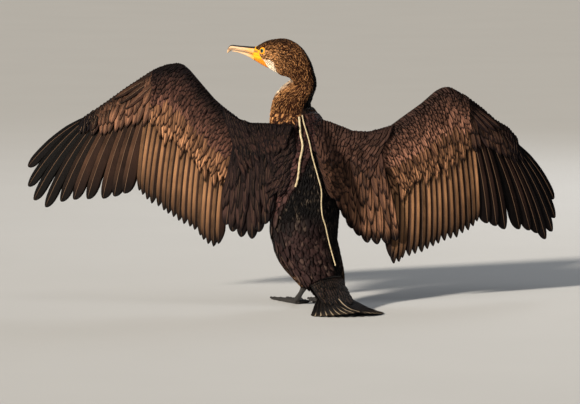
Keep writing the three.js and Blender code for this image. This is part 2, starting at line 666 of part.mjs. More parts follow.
const NODES = [
  ['torso', torsoWhole, 'black'],
  ['neck_lower', neckLower, 'brown'],
  ['neck_upper', neckUpper, 'brown'],
  ['head', head, 'brown'],
  ['bill_upper', billLoft(BILL_UPPER), 'horn'],
  ['bill_lower', billLoft(BILL_LOWER), 'horn'],
  ['eye_left', eyeBall(-1, EYE_RADIUS), 'eye'],
  ['eye_right', eyeBall(1, EYE_RADIUS), 'eye'],
  ['wing_left_shoulder', leftWing.shoulder, 'bronze'],
  ['wing_left_forearm', leftWing.forearm, 'bronze'],
  ['wing_left_hand', leftWing.hand, 'bronze'],
  ['wing_right_shoulder', rightWing.shoulder, 'bronze'],
  ['wing_right_forearm', rightWing.forearm, 'bronze'],
  ['wing_right_hand', rightWing.hand, 'bronze'],
  ['tail', tail, 'black'],
  ['thigh_left', thigh(-1), 'brown'],
  ['thigh_right', thigh(1), 'brown'],
  ['tarsus_left', tarsus(-1), 'skin'],
  ['tarsus_right', tarsus(1), 'skin'],
  ['foot_left', foot(-1), 'skin'],
  ['foot_right', foot(1), 'skin'],
  ['twine_short', cord(TWINE.short), 'straw'],
  ['twine_long', cord(TWINE.long), 'straw'],
];

const group = new THREE.Group();
for (const [name, solid, finish] of NODES) {
  const kept = largestOf(solid);
  const mesh = kept.getMesh();
  const geometry = new THREE.BufferGeometry();
  geometry.setAttribute('position', new THREE.BufferAttribute(mesh.vertProperties, 3));
  geometry.setIndex(new THREE.BufferAttribute(mesh.triVerts, 1));
  geometry.computeVertexNormals();
  const piece = new THREE.Mesh(geometry, new THREE.MeshStandardMaterial(FINISH[finish]));
  piece.name = name;
  group.add(piece);
}

const box = new THREE.Box3().setFromObject(group);
group.position.set(-(box.min.x + box.max.x) / 2, -(box.min.y + box.max.y) / 2, -box.min.z);

export default group;
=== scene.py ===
"""Great cormorant with its wings spread to dry: skin, coat of feathers, flight feathers, face and feet.

Lengths in the tables are millimetres in the bird's own frame. World.place turns them into metres in the
row frame.
"""
import logging
import math
from dataclasses import dataclass, field, replace
from enum import Enum
from typing import Callable, Sequence

import bpy
import numpy as np
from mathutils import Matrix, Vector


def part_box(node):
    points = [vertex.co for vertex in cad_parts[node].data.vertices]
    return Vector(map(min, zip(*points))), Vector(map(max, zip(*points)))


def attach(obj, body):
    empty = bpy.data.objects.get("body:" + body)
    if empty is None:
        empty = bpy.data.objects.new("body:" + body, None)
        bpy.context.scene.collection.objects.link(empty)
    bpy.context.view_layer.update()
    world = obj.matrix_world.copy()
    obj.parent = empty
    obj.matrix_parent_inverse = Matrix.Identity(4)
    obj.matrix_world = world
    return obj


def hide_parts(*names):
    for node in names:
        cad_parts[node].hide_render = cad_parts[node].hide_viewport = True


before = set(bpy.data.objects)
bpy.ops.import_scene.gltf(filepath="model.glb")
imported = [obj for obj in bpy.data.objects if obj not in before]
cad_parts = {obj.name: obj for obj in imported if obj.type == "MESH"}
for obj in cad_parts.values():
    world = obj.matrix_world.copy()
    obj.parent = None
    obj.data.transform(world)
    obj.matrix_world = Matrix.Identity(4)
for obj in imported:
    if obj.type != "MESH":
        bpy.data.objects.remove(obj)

LOG = logging.getLogger("cormorant")
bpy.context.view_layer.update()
Array = np.ndarray
Place = Callable[[Array, Array, Array], Array]

# Share of a curve, either way, over which its direction is taken
NUDGE = 1e-4
# Side of a small feather's patch on the OFBake map
PATCH = 0.003
# Specular level of feathers, which scatter most of the light
DULL = 0.07
# Lowest level of the rump and the tail coverts over the floor
FLOOR_GAP = 0.3
# Half thickness of the edges of the slabs inside the wings
EDGE = 0.3
# Half width past which a feather bulges no further
WIDEST_CAMBER = 9.0


class Side(Enum):
    """Left and right, by the sign of x as a wing reaches out."""

    LEFT = -1
    RIGHT = 1

    @property
    def label(self) -> str:
        """The side's word in the names of pieces."""
        return self.name.lower()


def unit(vectors: Array) -> Array:
    """Vectors along the last axis, scaled to length one."""
    return vectors / np.maximum(np.linalg.norm(vectors, axis=-1, keepdims=True), 1e-9)


def ease(low: float, high: float, value: Array) -> Array:
    """Smooth step from 0 at low to 1 at high."""
    k = np.clip((value - low) / (high - low), 0.0, 1.0)
    return k * k * (3.0 - 2.0 * k)


def window(value: Array, start: float, full: float, fade: float, end: float) -> Array:
    """Smooth step up from start to full, times a smooth step down from fade to end."""
    return ease(start, full, value) * ease(end, fade, value)


def catmull(points: Array, share: Array) -> Array:
    """Points on the uniform Catmull-Rom curve through rows, with the end rows mirrored outward.

    Args:
        points: the rows, (n, d).
        share: places along it from 0 to 1, any shape.

    Returns:
        The points, share's shape with d added.
    """
    points = np.asarray(points, float)
    padded = np.vstack([2 * points[0] - points[1], points, 2 * points[-1] - points[-2]])
    place = np.clip(share, 0, 1) * (len(points) - 1)
    cell = np.minimum(place.astype(int), len(points) - 2)
    w = (place - cell)[..., None]
    p0, p1, p2, p3 = (padded[cell + k] for k in range(4))
    m1, m2 = (p2 - p0) / 2, (p3 - p1) / 2
    return p1 + m1 * w + (3 * (p2 - p1) - 2 * m1 - m2) * w**2 + (2 * (p1 - p2) + m1 + m2) * w**3


def heading(rows: Array, t: Array) -> Array:
    """Direction of the curve through the first three columns of rows, from a small step either way."""
    line = rows[:, :3]
    return unit(catmull(line, np.minimum(t + NUDGE, 1)) - catmull(line, np.maximum(t - NUDGE, 0)))


def along_line(points: Sequence[Sequence[float]], share: Array) -> Array:
    """Places on a polyline at shares of its length, clipped to 0 to 1."""
    points = np.asarray(points, float)
    lengths = np.concatenate([[0], np.cumsum(np.linalg.norm(np.diff(points, axis=0), axis=1))])
    target = np.clip(share, 0, 1) * lengths[-1]
    return np.stack([np.interp(target, lengths, points[:, k]) for k in range(points.shape[1])], axis=-1)


def round_angles(count: int) -> Array:
    """Even angles round a full turn, without its end."""
    return np.linspace(0, 2 * np.pi, count, endpoint=False)


def tube_grid(along: Array, ring: int) -> tuple[Array, Array]:
    """Places along a tube and angles round it, each of shape (rows, ring)."""
    t, phi = np.meshgrid(along, round_angles(ring), indexing="ij")
    return t, phi


class World:
    """Where the bird's own frame sits in the row frame."""

    shift = np.zeros(3)

    @classmethod
    def place(cls, points: Array) -> Array:
        """Bird millimetres to row metres."""
        return (np.asarray(points, float) + cls.shift) * 0.001

    @classmethod
    def settle(cls, node: str, centre: Array) -> None:
        """Sets the shift so that centre, in bird millimetres, is the middle of a CAD node's box."""
        low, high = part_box(node)
        cls.shift = (np.array(low) + np.array(high)) * 500.0 - centre


# Shader maths


@dataclass(frozen=True)
class Value:
    """A float socket that adds Math nodes when it is used in an expression."""

    tree: "Tree"
    socket: bpy.types.NodeSocket

    def __add__(self, other: "Value | float") -> "Value":
        """Sum."""
        return self.tree.math("ADD", self, other)

    def __sub__(self, other: "Value | float") -> "Value":
        """The value less another."""
        return self.tree.math("SUBTRACT", self, other)

    def __rsub__(self, other: float) -> "Value":
        """A number less the value."""
        return self.tree.math("SUBTRACT", other, self)

    def __mul__(self, other: "Value | float") -> "Value":
        """Product."""
        return self.tree.math("MULTIPLY", self, other)

    __radd__ = __add__
    __rmul__ = __mul__

    def abs(self) -> "Value":
        """Absolute value."""
        return self.tree.math("ABSOLUTE", self)

    def sin(self) -> "Value":
        """Sine of the value in radians."""
        return self.tree.math("SINE", self)

    def clamp(self) -> "Value":
        """The value kept between 0 and 1."""
        return self.tree.math("ADD", self, 0.0, clamp=True)

    def step(self, low: float, high: float) -> "Value":
        """Smooth step, 0 at low and 1 at high, where high may be the smaller."""
        k = ((self - low) * (1.0 / (high - low))).clamp()
        return k * k * (3.0 - 2.0 * k)


Source = Value | bpy.types.NodeSocket | tuple | float


class Tree:
    """The node tree of one material, built by expressions."""

    def __init__(self, name: str) -> None:
        """Makes a material with an empty tree."""
        self.material = bpy.data.materials.new(name)
        self.material.use_nodes = True
        self.nodes = self.material.node_tree.nodes
        self.links = self.material.node_tree.links
        self.nodes.clear()

    def add(
        self, kind: str, settings: dict | None = None, sockets: dict | None = None, **inputs: Source
    ) -> bpy.types.Node:
        """Adds one node.

        Args:
            kind: its type name.
            settings: properties, set before the inputs.
            sockets, inputs: values or links by input index, and by input name with _ for a space.

        Returns:
            The node.
        """
        node = self.nodes.new(kind)
        for key, value in (settings or {}).items():
            setattr(node, key, value)
        for index, value in (sockets or {}).items():
            self.feed(node.inputs[index], value)
        for key, value in inputs.items():
            self.feed(node.inputs[key.replace("_", " ")], value)
        return node

    def feed(self, target: bpy.types.NodeSocket, value: Source) -> None:
        """Links a Value or a socket to an input, or sets a number or a colour of three numbers."""
        if isinstance(value, Value):
            value = value.socket
        if isinstance(value, bpy.types.NodeSocket):
            self.links.new(value, target)
        elif isinstance(value, tuple) and len(value) == 3 and target.type == "RGBA":
            target.default_value = (*value, 1.0)
        else:
            target.default_value = value

    def math(self, operation: str, *values: Value | float, clamp: bool = False) -> Value:
        """A Math node over floats and Values."""
        settings = {"operation": operation, "use_clamp": clamp}
        return Value(self, self.add("ShaderNodeMath", settings, dict(enumerate(values))).outputs[0])

    def attribute(self, name: str) -> Value:
        """A float attribute of the mesh."""
        return Value(self, self.add("ShaderNodeAttribute", {"attribute_name": name}).outputs["Fac"])

    def vane(self) -> tuple[Value, Value]:
        """Place on a feather: across from -1 to 1, and along from root 0 to tip 1."""
        uv = self.add("ShaderNodeUVMap", {"uv_map": "Vane"})
        parts = self.add("ShaderNodeSeparateXYZ", Vector=uv.outputs[0])
        return Value(self, parts.outputs[0]) * 2.0 - 1.0, Value(self, parts.outputs[1])

    def spot(self) -> bpy.types.NodeSocket:
        """Object coordinates."""
        return self.add("ShaderNodeTexCoord").outputs["Object"]

    def noise(self, scale: float, detail: float = 3.0, stretch: tuple | None = None) -> Value:
        """Noise from 0 to 1 over object coordinates: scale in cells per metre, stretch for each axis."""
        vector = self.spot()
        if stretch:
            vector = self.add("ShaderNodeMapping", Vector=vector, Scale=stretch).outputs[0]
        node = self.add("ShaderNodeTexNoise", Vector=vector, Scale=scale, Detail=detail)
        return Value(self, node.outputs["Fac"])

    def noise_at(self, x: Value, y: Value, z: Value, detail: float = 2.0) -> Value:
        """Noise at a point given by three values."""
        point = self.add("ShaderNodeCombineXYZ", X=x, Y=y, Z=z)
        node = self.add("ShaderNodeTexNoise", Vector=point.outputs[0], Scale=1.0, Detail=detail)
        return Value(self, node.outputs["Fac"])

    def blend(self, factor: Value | float, low: Source, high: Source) -> bpy.types.NodeSocket:
        """Colour between low and high, through the colour sockets of a Mix node."""
        sockets = {0: factor, 6: low, 7: high}
        return self.add("ShaderNodeMix", {"data_type": "RGBA"}, sockets).outputs[2]

    def tint(self, colour: Source, factor: Value | float) -> bpy.types.NodeSocket:
        """Colour times a float."""
        return self.add("ShaderNodeVectorMath", {"operation": "SCALE"}, {0: colour}, Scale=factor).outputs[0]

    def bump(self, height: Value, distance: float, strength: float = 1.0) -> bpy.types.NodeSocket:
        """Normal from a height in units of distance metres."""
        return self.add("ShaderNodeBump", Height=height, Distance=distance, Strength=strength).outputs[0]

    def surface(self, **inputs: Source) -> bpy.types.Material:
        """Ends the tree in a Principled surface and returns the material."""
        node = self.add("ShaderNodeBsdfPrincipled", **inputs)
        out = self.add("ShaderNodeOutputMaterial")
        self.links.new(node.outputs[0], out.inputs[0])
        return self.material


# Finishes


@dataclass(frozen=True)
class FeatherFinish:
    """Feather colours: the shaft, the two halves and the edge of the vane, and the colour where mark is 1.

    From the share dusk of its length on, a feather darkens to its edge colour.
    """

    name: str
    middle: tuple
    edge: tuple
    outer: tuple
    shaft: tuple
    second: tuple = (0.02, 0.02, 0.02)
    edge_width: float = 0.3
    shaft_width: float = 0.05
    barbs: float = 60.0
    rough: float = 0.55
    dusk: float = 0.8

    def make(self) -> bpy.types.Material:
        """Builds the material. Barbs are stripes that slant off the shaft to the tip."""
        t = Tree(self.name)
        across, along = t.vane()
        tone = t.attribute("tone")
        mark = t.attribute("mark")
        side = across.abs()
        slant = along * self.barbs - side * (self.barbs * 0.16)
        stripe = (slant * math.tau).sin()
        clumps = t.noise_at(slant * 0.9, tone * 57.0, across * 0.8)
        frayed = t.noise(900.0, 2.0)
        colour = t.blend(across.step(0.02, 0.2), self.middle, self.outer)
        # Darker towards the root: painted shade where the row above covers the feather.
        colour = t.tint(colour, 0.5 + along.step(0.1, 0.7) * 0.75)
        colour = t.blend((along + (clumps - 0.5) * 0.1).step(self.dusk, 1.0) * 0.85, colour, self.edge)
        colour = t.blend(mark, colour, self.second)
        # The dark rim and tip are partly the vane's own dark edge and partly painted shadow where
        # neighbouring feathers overlap.
        rim = (side + (frayed - 0.5) * 0.16).step(1.0 - self.edge_width, 1.0)
        tip = (along + (frayed - 0.5) * 0.05).step(0.96 - self.edge_width * 0.35, 0.985)
        colour = t.blend(t.math("MAXIMUM", rim, tip), colour, self.edge)
        shade = tone + stripe * 0.08 + clumps * 1.15 - 0.05 + (t.noise(45.0, 2.0) - 0.5)
        colour = t.tint(colour, t.math("MAXIMUM", shade, 0.12))
        line = side.step(self.shaft_width * 1.6, self.shaft_width * 0.6)
        colour = t.blend(line * 0.8, colour, self.shaft)
        height = stripe * 0.35 + clumps * 0.8 + line * 1.4 - rim * 0.5
        return t.surface(
            Base_Color=colour,
            Roughness=(self.rough + (frayed - 0.5) * 0.2 + tone * 0.08).clamp(),
            Normal=t.bump(height, 0.00025, 0.7),
            Specular_IOR_Level=DULL,
        )


@dataclass(frozen=True)
class CoatFinish:
    """Small body feathers whose colour goes by marks: bronze, brown, tan, dark and white, over black flecked
    with painted sheen.
    """

    name: str
    black: tuple = (0.0045, 0.0040, 0.0045)
    # Painted sheen: the olive of light caught on glossy black feathers.
    painted_sheen_colour: tuple = (0.060, 0.045, 0.034)
    bronze: tuple = (0.048, 0.021, 0.019)
    brown: tuple = (0.052, 0.018, 0.008)
    tan: tuple = (0.62, 0.30, 0.115)
    white: tuple = (0.90, 0.76, 0.58)
    rough: float = 0.55

    def make(self) -> bpy.types.Material:
        """Builds the material shared by the skin and the coat."""
        t = Tree(self.name)
        across, along = t.vane()
        tone = t.attribute("tone")
        side = across.abs()
        # Olive flecks on the lighter feathers are painted sheen on the black plumage.
        painted_sheen_mask = tone.step(0.55, 1.0) * t.noise(60.0, 3.0).step(0.42, 0.68)
        colour = t.blend(painted_sheen_mask, self.black, self.painted_sheen_colour)
        colour = t.blend(t.attribute("bronze"), colour, self.bronze)
        fur = t.blend((tone - 0.80 + t.attribute("tan") * 0.85).clamp(), self.brown, self.tan)
        furry = t.attribute("brown")
        colour = t.blend(furry, colour, fur)
        rim = t.math("MAXIMUM", side.step(0.5, 0.95), along.step(0.8, 0.97))
        colour = t.blend(t.attribute("bronze") * rim, colour, self.black)
        # dark holds the nape, the crown and the neck-base band; the band is partly painted shade.
        colour = t.blend(t.attribute("dark"), colour, self.black)
        white = t.attribute("white")
        colour = t.blend((white * 1.5 - (1.0 - tone) * (1.0 - white)).clamp(), colour, self.white)
        stripe = ((along * 14.0 - side * 3.0) * math.tau).sin()
        clumps = t.noise(110.0, 3.0) * (0.95 - furry * 0.4)
        colour = t.tint(colour, tone * 1.1 - 0.05 + stripe * 0.07 + clumps + furry * 0.2)
        return t.surface(
            Base_Color=colour,
            Roughness=(self.rough + tone * 0.15 - t.attribute("dark") * 0.1).clamp(),
            Normal=t.bump(stripe * 0.4 + side.step(0.12, 0.02), 0.0002, 0.6),
            Specular_IOR_Level=DULL,
        )


@dataclass(frozen=True)
class SkinFinish:
    """Skin under the coat, with the bare face left yellow and orange."""

    name: str = "face_skin"
    dark: tuple = (0.020, 0.016, 0.014)
    yellow: tuple = (0.86, 0.40, 0.004)
    orange: tuple = (0.78, 0.20, 0.003)
    white: tuple = (0.74, 0.68, 0.58)
    lore: tuple = (0.16, 0.075, 0.030)

    def make(self) -> bpy.types.Material:
        """Builds the material: pebbled face skin, folded along the pouch."""
        t = Tree(self.name)
        grain = t.noise(1500.0, 3.0)
        folds = t.noise(260.0, 3.0, stretch=(0.35, 0.35, 2.0))
        face = t.blend((t.attribute("orange") + (folds - 0.5) * 1.2).clamp(), self.yellow, self.orange)
        face = t.tint(face, 0.72 + grain * 0.5)
        face = t.blend((t.attribute("lore") + (folds - 0.5) * 0.8).clamp() * 0.8, face, self.lore)
        under = t.blend(t.attribute("brown"), self.dark, (0.06, 0.032, 0.018))
        colour = t.blend(t.attribute("white"), under, self.white)
        colour = t.blend(t.attribute("yellow"), colour, face)
        return t.surface(
            Base_Color=colour,
            Roughness=(0.42 + grain * 0.25).clamp(),
            Normal=t.bump(grain + folds * 1.5, 0.0004, 0.6),
            Specular_IOR_Level=0.3,
        )


@dataclass(frozen=True)
class BillFinish:
    """Horn bill: pale sides, dark ridge and brown streaks along its length."""

    name: str = "bill_horn"
    pale: tuple = (0.66, 0.44, 0.25)
    streak: tuple = (0.22, 0.12, 0.07)
    ridge: tuple = (0.018, 0.015, 0.015)
    base: tuple = (0.78, 0.36, 0.05)

    def make(self) -> bpy.types.Material:
        """Builds the material from the attributes ridge and base."""
        t = Tree(self.name)
        streaks = t.noise(300.0, 4.0, stretch=(0.16, 0.16, 1.6))
        grain = t.noise(1400.0, 2.0)
        colour = t.blend(streaks.step(0.42, 0.72) * 0.8, self.pale, self.streak)
        colour = t.blend(t.attribute("base") * streaks.step(0.25, 0.55), colour, self.base)
        colour = t.blend((t.attribute("ridge") + (streaks - 0.5) * 0.5).step(0.4, 0.62), colour, self.ridge)
        colour = t.tint(colour, 0.8 + grain * 0.35)
        return t.surface(
            Base_Color=colour,
            Roughness=(0.26 + grain * 0.22 + streaks * 0.1).clamp(),
            Normal=t.bump(streaks + grain * 0.3, 0.0003, 0.5),
            Coat_Weight=0.25,
        )


@dataclass(frozen=True)
class EyeFinish:
    """Wet eye: teal iris with a fine radial grain, black pupil and a pale ring outside."""

    name: str = "eye_wet"

    def make(self) -> bpy.types.Material:
        """Builds the material from the attribute gaze, the angle off the optical axis in radians."""
        t = Tree(self.name)
        gaze = t.attribute("gaze")
        grain = t.noise(2600.0, 3.0)
        iris = t.blend(grain, (0.008, 0.10, 0.09), (0.03, 0.27, 0.22))
        iris = t.blend(gaze.step(0.60, 0.98), iris, (0.005, 0.05, 0.05))
        colour = t.blend((gaze + (grain - 0.5) * 0.04).step(0.48, 0.54), (0.002, 0.002, 0.002), iris)
        colour = t.blend(gaze.step(1.02, 1.12), colour, (0.02, 0.015, 0.012))
        return t.surface(Base_Color=colour, Roughness=0.06, Coat_Weight=1.0, Coat_Roughness=0.02)


@dataclass(frozen=True)
class HideFinish:
    """Scaly black skin of the shanks, toes and webs, dusty in its creases."""

    name: str
    base: tuple = (0.018, 0.0175, 0.018)
    dust: tuple = (0.055, 0.048, 0.042)
    scale: float = 420.0
    rough: float = 0.45

    def make(self) -> bpy.types.Material:
        """Builds the material: cells for scutes, and fine wrinkles."""
        t = Tree(self.name)
        cells = t.add(
            "ShaderNodeTexVoronoi", {"feature": "DISTANCE_TO_EDGE"}, Vector=t.spot(), Scale=self.scale
        )
        crease = Value(t, cells.outputs["Distance"]).step(0.0, 0.16)
        fine = t.noise(1500.0, 3.0)
        worn = t.noise(120.0, 3.0)
        colour = t.blend((1.0 - crease) * 0.5 + (worn - 0.5) * 0.3, self.base, self.dust)
        return t.surface(
            Base_Color=colour,
            Roughness=(self.rough + worn * 0.3 - crease * 0.08).clamp(),
            Normal=t.bump(crease + fine * 0.35, 0.0005, 0.8),
            Specular_IOR_Level=0.22,
        )


@dataclass(frozen=True)
class TwineFinish:
    """Straw-coloured fibre, frayed and a little soiled."""

    name: str = "twine_fibre"
    base: tuple = (0.60, 0.50, 0.32)
    soil: tuple = (0.30, 0.20, 0.09)

    def make(self) -> bpy.types.Material:
        """Builds the material: strands along the twist from the Vane map."""
        t = Tree(self.name)
        across, along = t.vane()
        strand = ((across * 3.0 + along * 260.0) * math.tau).sin()
        soil = t.noise(140.0, 4.0)
        colour = t.blend(soil.step(0.45, 0.75) * 0.7 + strand * 0.08, self.base, self.soil)
        return t.surface(Base_Color=colour, Roughness=0.85, Normal=t.bump(strand + soil, 0.0003, 0.7))


@dataclass(frozen=True)
class FloorFinish:
    """Plain pale floor."""

    name: str = "floor_plain"

    def make(self) -> bpy.types.Material:
        """Builds a matt grey with a very faint grain."""
        t = Tree(self.name)
        return t.surface(Base_Color=t.tint((0.60, 0.61, 0.62), 0.97 + t.noise(3.0) * 0.06), Roughness=0.9)


# Meshes


@dataclass
class Soup:
    """Vertices and faces with values carried on them, ready to join into one mesh."""

    points: Array
    quads: Array
    tris: Array
    values: dict = field(default_factory=dict)
    vane: Array | None = None
    bake: Array | None = None

    @staticmethod
    def join(soups: Sequence["Soup"]) -> "Soup":
        """One soup from several that carry the same values."""
        start = np.cumsum([0] + [len(s.points) for s in soups[:-1]])
        first = soups[0]
        return Soup(
            np.concatenate([s.points for s in soups]),
            np.concatenate([s.quads + n for s, n in zip(soups, start)]),
            np.concatenate([s.tris + n for s, n in zip(soups, start)]),
            {k: np.concatenate([s.values[k] for s in soups]) for k in first.values},
            None if first.vane is None else np.concatenate([s.vane for s in soups]),
            None if first.bake is None else np.concatenate([s.bake for s in soups]),
        )

    def piece(
        self, name: str, material: bpy.types.Material, slot: str, stands_for: Sequence[str] = ()
    ) -> bpy.types.Object:
        """Makes the Blender object.

        Args:
            name, material: the object's own; slot is not used.
            stands_for: the CAD nodes that it replaces.

        Returns:
            The new object, riding on the root body.
        """
        mesh = bpy.data.meshes.new(name)
        loops = np.concatenate([self.quads.ravel(), self.tris.ravel()]).astype(np.int32)
        quads, tris = len(self.quads), len(self.tris)
        totals = np.repeat(np.array([4, 3], np.int32), [quads, tris])
        starts = np.concatenate([[0], np.cumsum(totals)[:-1]]).astype(np.int32)
        mesh.vertices.add(len(self.points))
        mesh.vertices.foreach_set("co", World.place(self.points).astype(np.float32).ravel())
        mesh.loops.add(len(loops))
        mesh.loops.foreach_set("vertex_index", loops)
        mesh.polygons.add(quads + tris)
        mesh.polygons.foreach_set("loop_start", starts)
        mesh.polygons.foreach_set("loop_total", totals)
        mesh.polygons.foreach_set("use_smooth", np.ones(quads + tris, bool))
        mesh.update(calc_edges=True)
        for key, values in self.values.items():
            layer = mesh.attributes.new(key, "FLOAT", "POINT")
            layer.data.foreach_set("value", np.asarray(values, np.float32).ravel())
        for key, values in (("OFBake", self.bake), ("Vane", self.vane)):
            if values is not None:
                layer = mesh.uv_layers.new(name=key)
                layer.data.foreach_set("uv", values[loops].astype(np.float32).ravel())
        mesh.materials.append(material)
        piece = bpy.data.objects.new(name, mesh)
        bpy.context.scene.collection.objects.link(piece)
        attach(piece, "root")
        if stands_for:
            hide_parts(*stands_for)
        LOG.info("%s: %d faces", name, quads + tris)
        return piece


def grid_faces(rows: int, ring: int) -> Array:
    """Quads over rows of closed rings, (n, 4)."""
    i = np.arange(rows - 1)[:, None] * ring
    j = np.arange(ring)[None, :]
    k = (j + 1) % ring
    return np.stack([i + j, i + k, i + ring + k, i + ring + j], axis=-1).reshape(-1, 4)


def outward(soup: Soup) -> Soup:
    """The soup with its faces turned out, judged by the sign of its volume."""
    p, q, r, s = (soup.points[soup.quads[:, m]] for m in range(4))
    a, b, c = (soup.points[soup.tris[:, m]] for m in range(3))
    volume = sum(np.einsum("ij,ij->", *pair) for pair in (
        (p, np.cross(q, r)), (p, np.cross(r, s)), (a, np.cross(b, c))))
    if volume < 0:
        soup.quads = soup.quads[:, ::-1]
        soup.tris = soup.tris[:, ::-1]
    return soup


def capped(rings: Array, **values: Array) -> Soup:
    """A closed skin through rings, with values on its points and a fan to the middle of each end."""
    rows, ring = rings.shape[:2]
    ends = np.stack([rings[0].mean(0), rings[-1].mean(0)])
    n = rows * ring
    j = np.arange(ring)
    k = (j + 1) % ring
    first = np.stack([np.full(ring, n), k, j], axis=-1)
    last = np.stack([np.full(ring, n + 1), n - ring + j, n - ring + k], axis=-1)
    return outward(Soup(
        np.concatenate([rings.reshape(-1, 3), ends]), grid_faces(rows, ring), np.concatenate([first, last]),
        {key: np.concatenate([v.ravel(), [v[0].mean(), v[-1].mean()]]) for key, v in values.items()},
    ))


def plain(rings: Array) -> Soup:
    """A closed skin through rings that carries tone 0."""
    return capped(rings, tone=np.zeros(rings.shape[:2]))


def core(rings: Array) -> Soup:
    """A closed skin inside feathers, with a feather's values at one spot of its vane."""
    soup = capped(rings, tone=np.zeros(rings.shape[:2]), mark=np.zeros(rings.shape[:2]))
    soup.vane = np.tile([0.2, 0.5], (len(soup.points), 1))
    return soup


@dataclass(frozen=True)
class Blade:
    """Outline and section of a feather mesh: stations along, width there, columns across."""

    at: tuple = (0.0, 0.2, 0.45, 0.7, 0.88, 1.0)
    wide: tuple = (0.35, 0.8, 1.0, 0.92, 0.6, 0.12)
    columns: int = 3
    thick: float = 0.35
    camber: float = 0.12

    def local(self) -> tuple[Array, Array, Array, Array]:
        """Across (-1..1), along (0..1), width factor and height side of each point of the rings."""
        top = np.linspace(-1, 1, self.columns)
        across = np.concatenate([top, top[-2:0:-1]])
        inner = np.ones(self.columns - 2)
        face = np.concatenate([[0], inner, [0], -inner])
        shape = (len(self.at), len(across))
        at, wide = (np.array(values)[:, None] for values in (self.at, self.wide))
        return tuple(np.broadcast_to(values, shape) for values in (across, at, wide, face))

    def faces(self, count: int) -> tuple[Array, Array]:
        """Quads and triangles of count feathers laid one after another, each closed at its root and tip."""
        rows, ring = len(self.at), 2 * self.columns - 2
        last = self.columns - 1
        caps_q, caps_t = [], []
        for base, turn in ((0, 1), ((rows - 1) * ring, -1)):
            caps_t.append([base, base + 1, base + ring - 1][::turn])
            for c in range(1, last - 1):
                caps_q.append([base + c, base + c + 1, base + ring - c - 1, base + ring - c][::turn])
            caps_t.append([base + last - 1, base + last, base + ring - last + 1][::turn])
        quads = np.concatenate([grid_faces(rows, ring)[:, ::-1], np.array(caps_q, int).reshape(-1, 4)])
        step = np.arange(count)[:, None, None] * rows * ring
        return (quads[None] + step).reshape(-1, 4), (np.array(caps_t)[None] + step).reshape(-1, 3)


def per_feather(value: Array | float, count: int) -> Array:
    """One number for all feathers, or one for each, shaped (count, 1, 1)."""
    return np.broadcast_to(np.asarray(value, float), (count,))[:, None, None]


def vane_map(across: Array, along: Array, shape: tuple) -> tuple[Array, Array]:
    """Places on the vane from 0 to 1, across and along, spread to a shape."""
    return np.broadcast_to((across + 1) / 2, shape), np.broadcast_to(along, shape)


def pairs(u: Array, v: Array) -> Array:
    """Rows (u, v) from two arrays of one shape."""
    return np.stack([u.ravel(), v.ravel()], axis=1)


def plane_feathers(
    place: Place, blade: Blade, roots: Array, tips: Array, outer: Array | float, inner: Array | float,
    rise: tuple[Array | float, Array | float], tilt: float, side: int, rng: np.random.Generator,
    bend: Array | float = 0.0, mark: Array | float = 0.0, bake: tuple = (0.0, 1.0, 0.0),
    patch: tuple = (PATCH, PATCH),
) -> Soup:
    """Feathers that lie on a sheet.

    Args:
        place: gives a point for in-plane x, z and a height above the sheet.
        blade, rng: their mesh, and random numbers.
        roots, tips: in-plane ends, (n, 2).
        outer, inner: half widths on the leading and trailing side.
        rise: heights at root and tip.
        tilt: rise of the outer edge per millimetre across.
        side: +1 where x grows outward along the wing, -1 where it falls.
        bend: bow of the shaft, as a share of the length.
        mark: carried attribute.
        bake, patch: first and last place and level of their patches on the map, and a patch's size.

    Returns:
        The soup, with tone, mark, Vane and OFBake.
    """
    n = len(roots)
    across, along, wide, face = (a[None] for a in blade.local())
    outer, inner, low, high, bend, mark = (per_feather(v, n) for v in (outer, inner, *rise, bend, mark))
    run = tips - roots
    length = np.linalg.norm(run, axis=1)
    out = np.stack([-run[:, 1], run[:, 0]], axis=1) / length[:, None] * side
    arch = along * (1 - along) * 4
    x = np.where(across > 0, across * outer, across * inner) * wide
    drift = bend * length[:, None, None] * arch
    thick = blade.thick * (1.0 - 0.5 * along) / 2
    height = low + (high - low) * along + tilt * x + face * thick
    height = height + blade.camber * (1 - across**2) * np.minimum(outer, WIDEST_CAMBER) * wide
    px, pz = (
        roots[:, n, None, None] + run[:, n, None, None] * along + out[:, n, None, None] * (x + drift)
        for n in (0, 1)
    )
    shape = (n, len(blade.at), 2 * blade.columns - 2)
    tone = np.broadcast_to(rng.random(n)[:, None, None], shape)
    u, v = vane_map(across, along, shape)
    first, last, level = bake
    corner = (first + (last - first) * (np.arange(n) + 0.5) / n)[:, None, None] - patch[0] / 2
    soup = Soup(place(px, pz, height).reshape(-1, 3), *blade.faces(n))
    soup.values = {"tone": tone.ravel(), "mark": np.broadcast_to(mark, shape).ravel()}
    soup.vane = pairs(u, v)
    soup.bake = pairs(corner + u * patch[0], level + v * patch[1])
    return outward(soup)


# Body surfaces


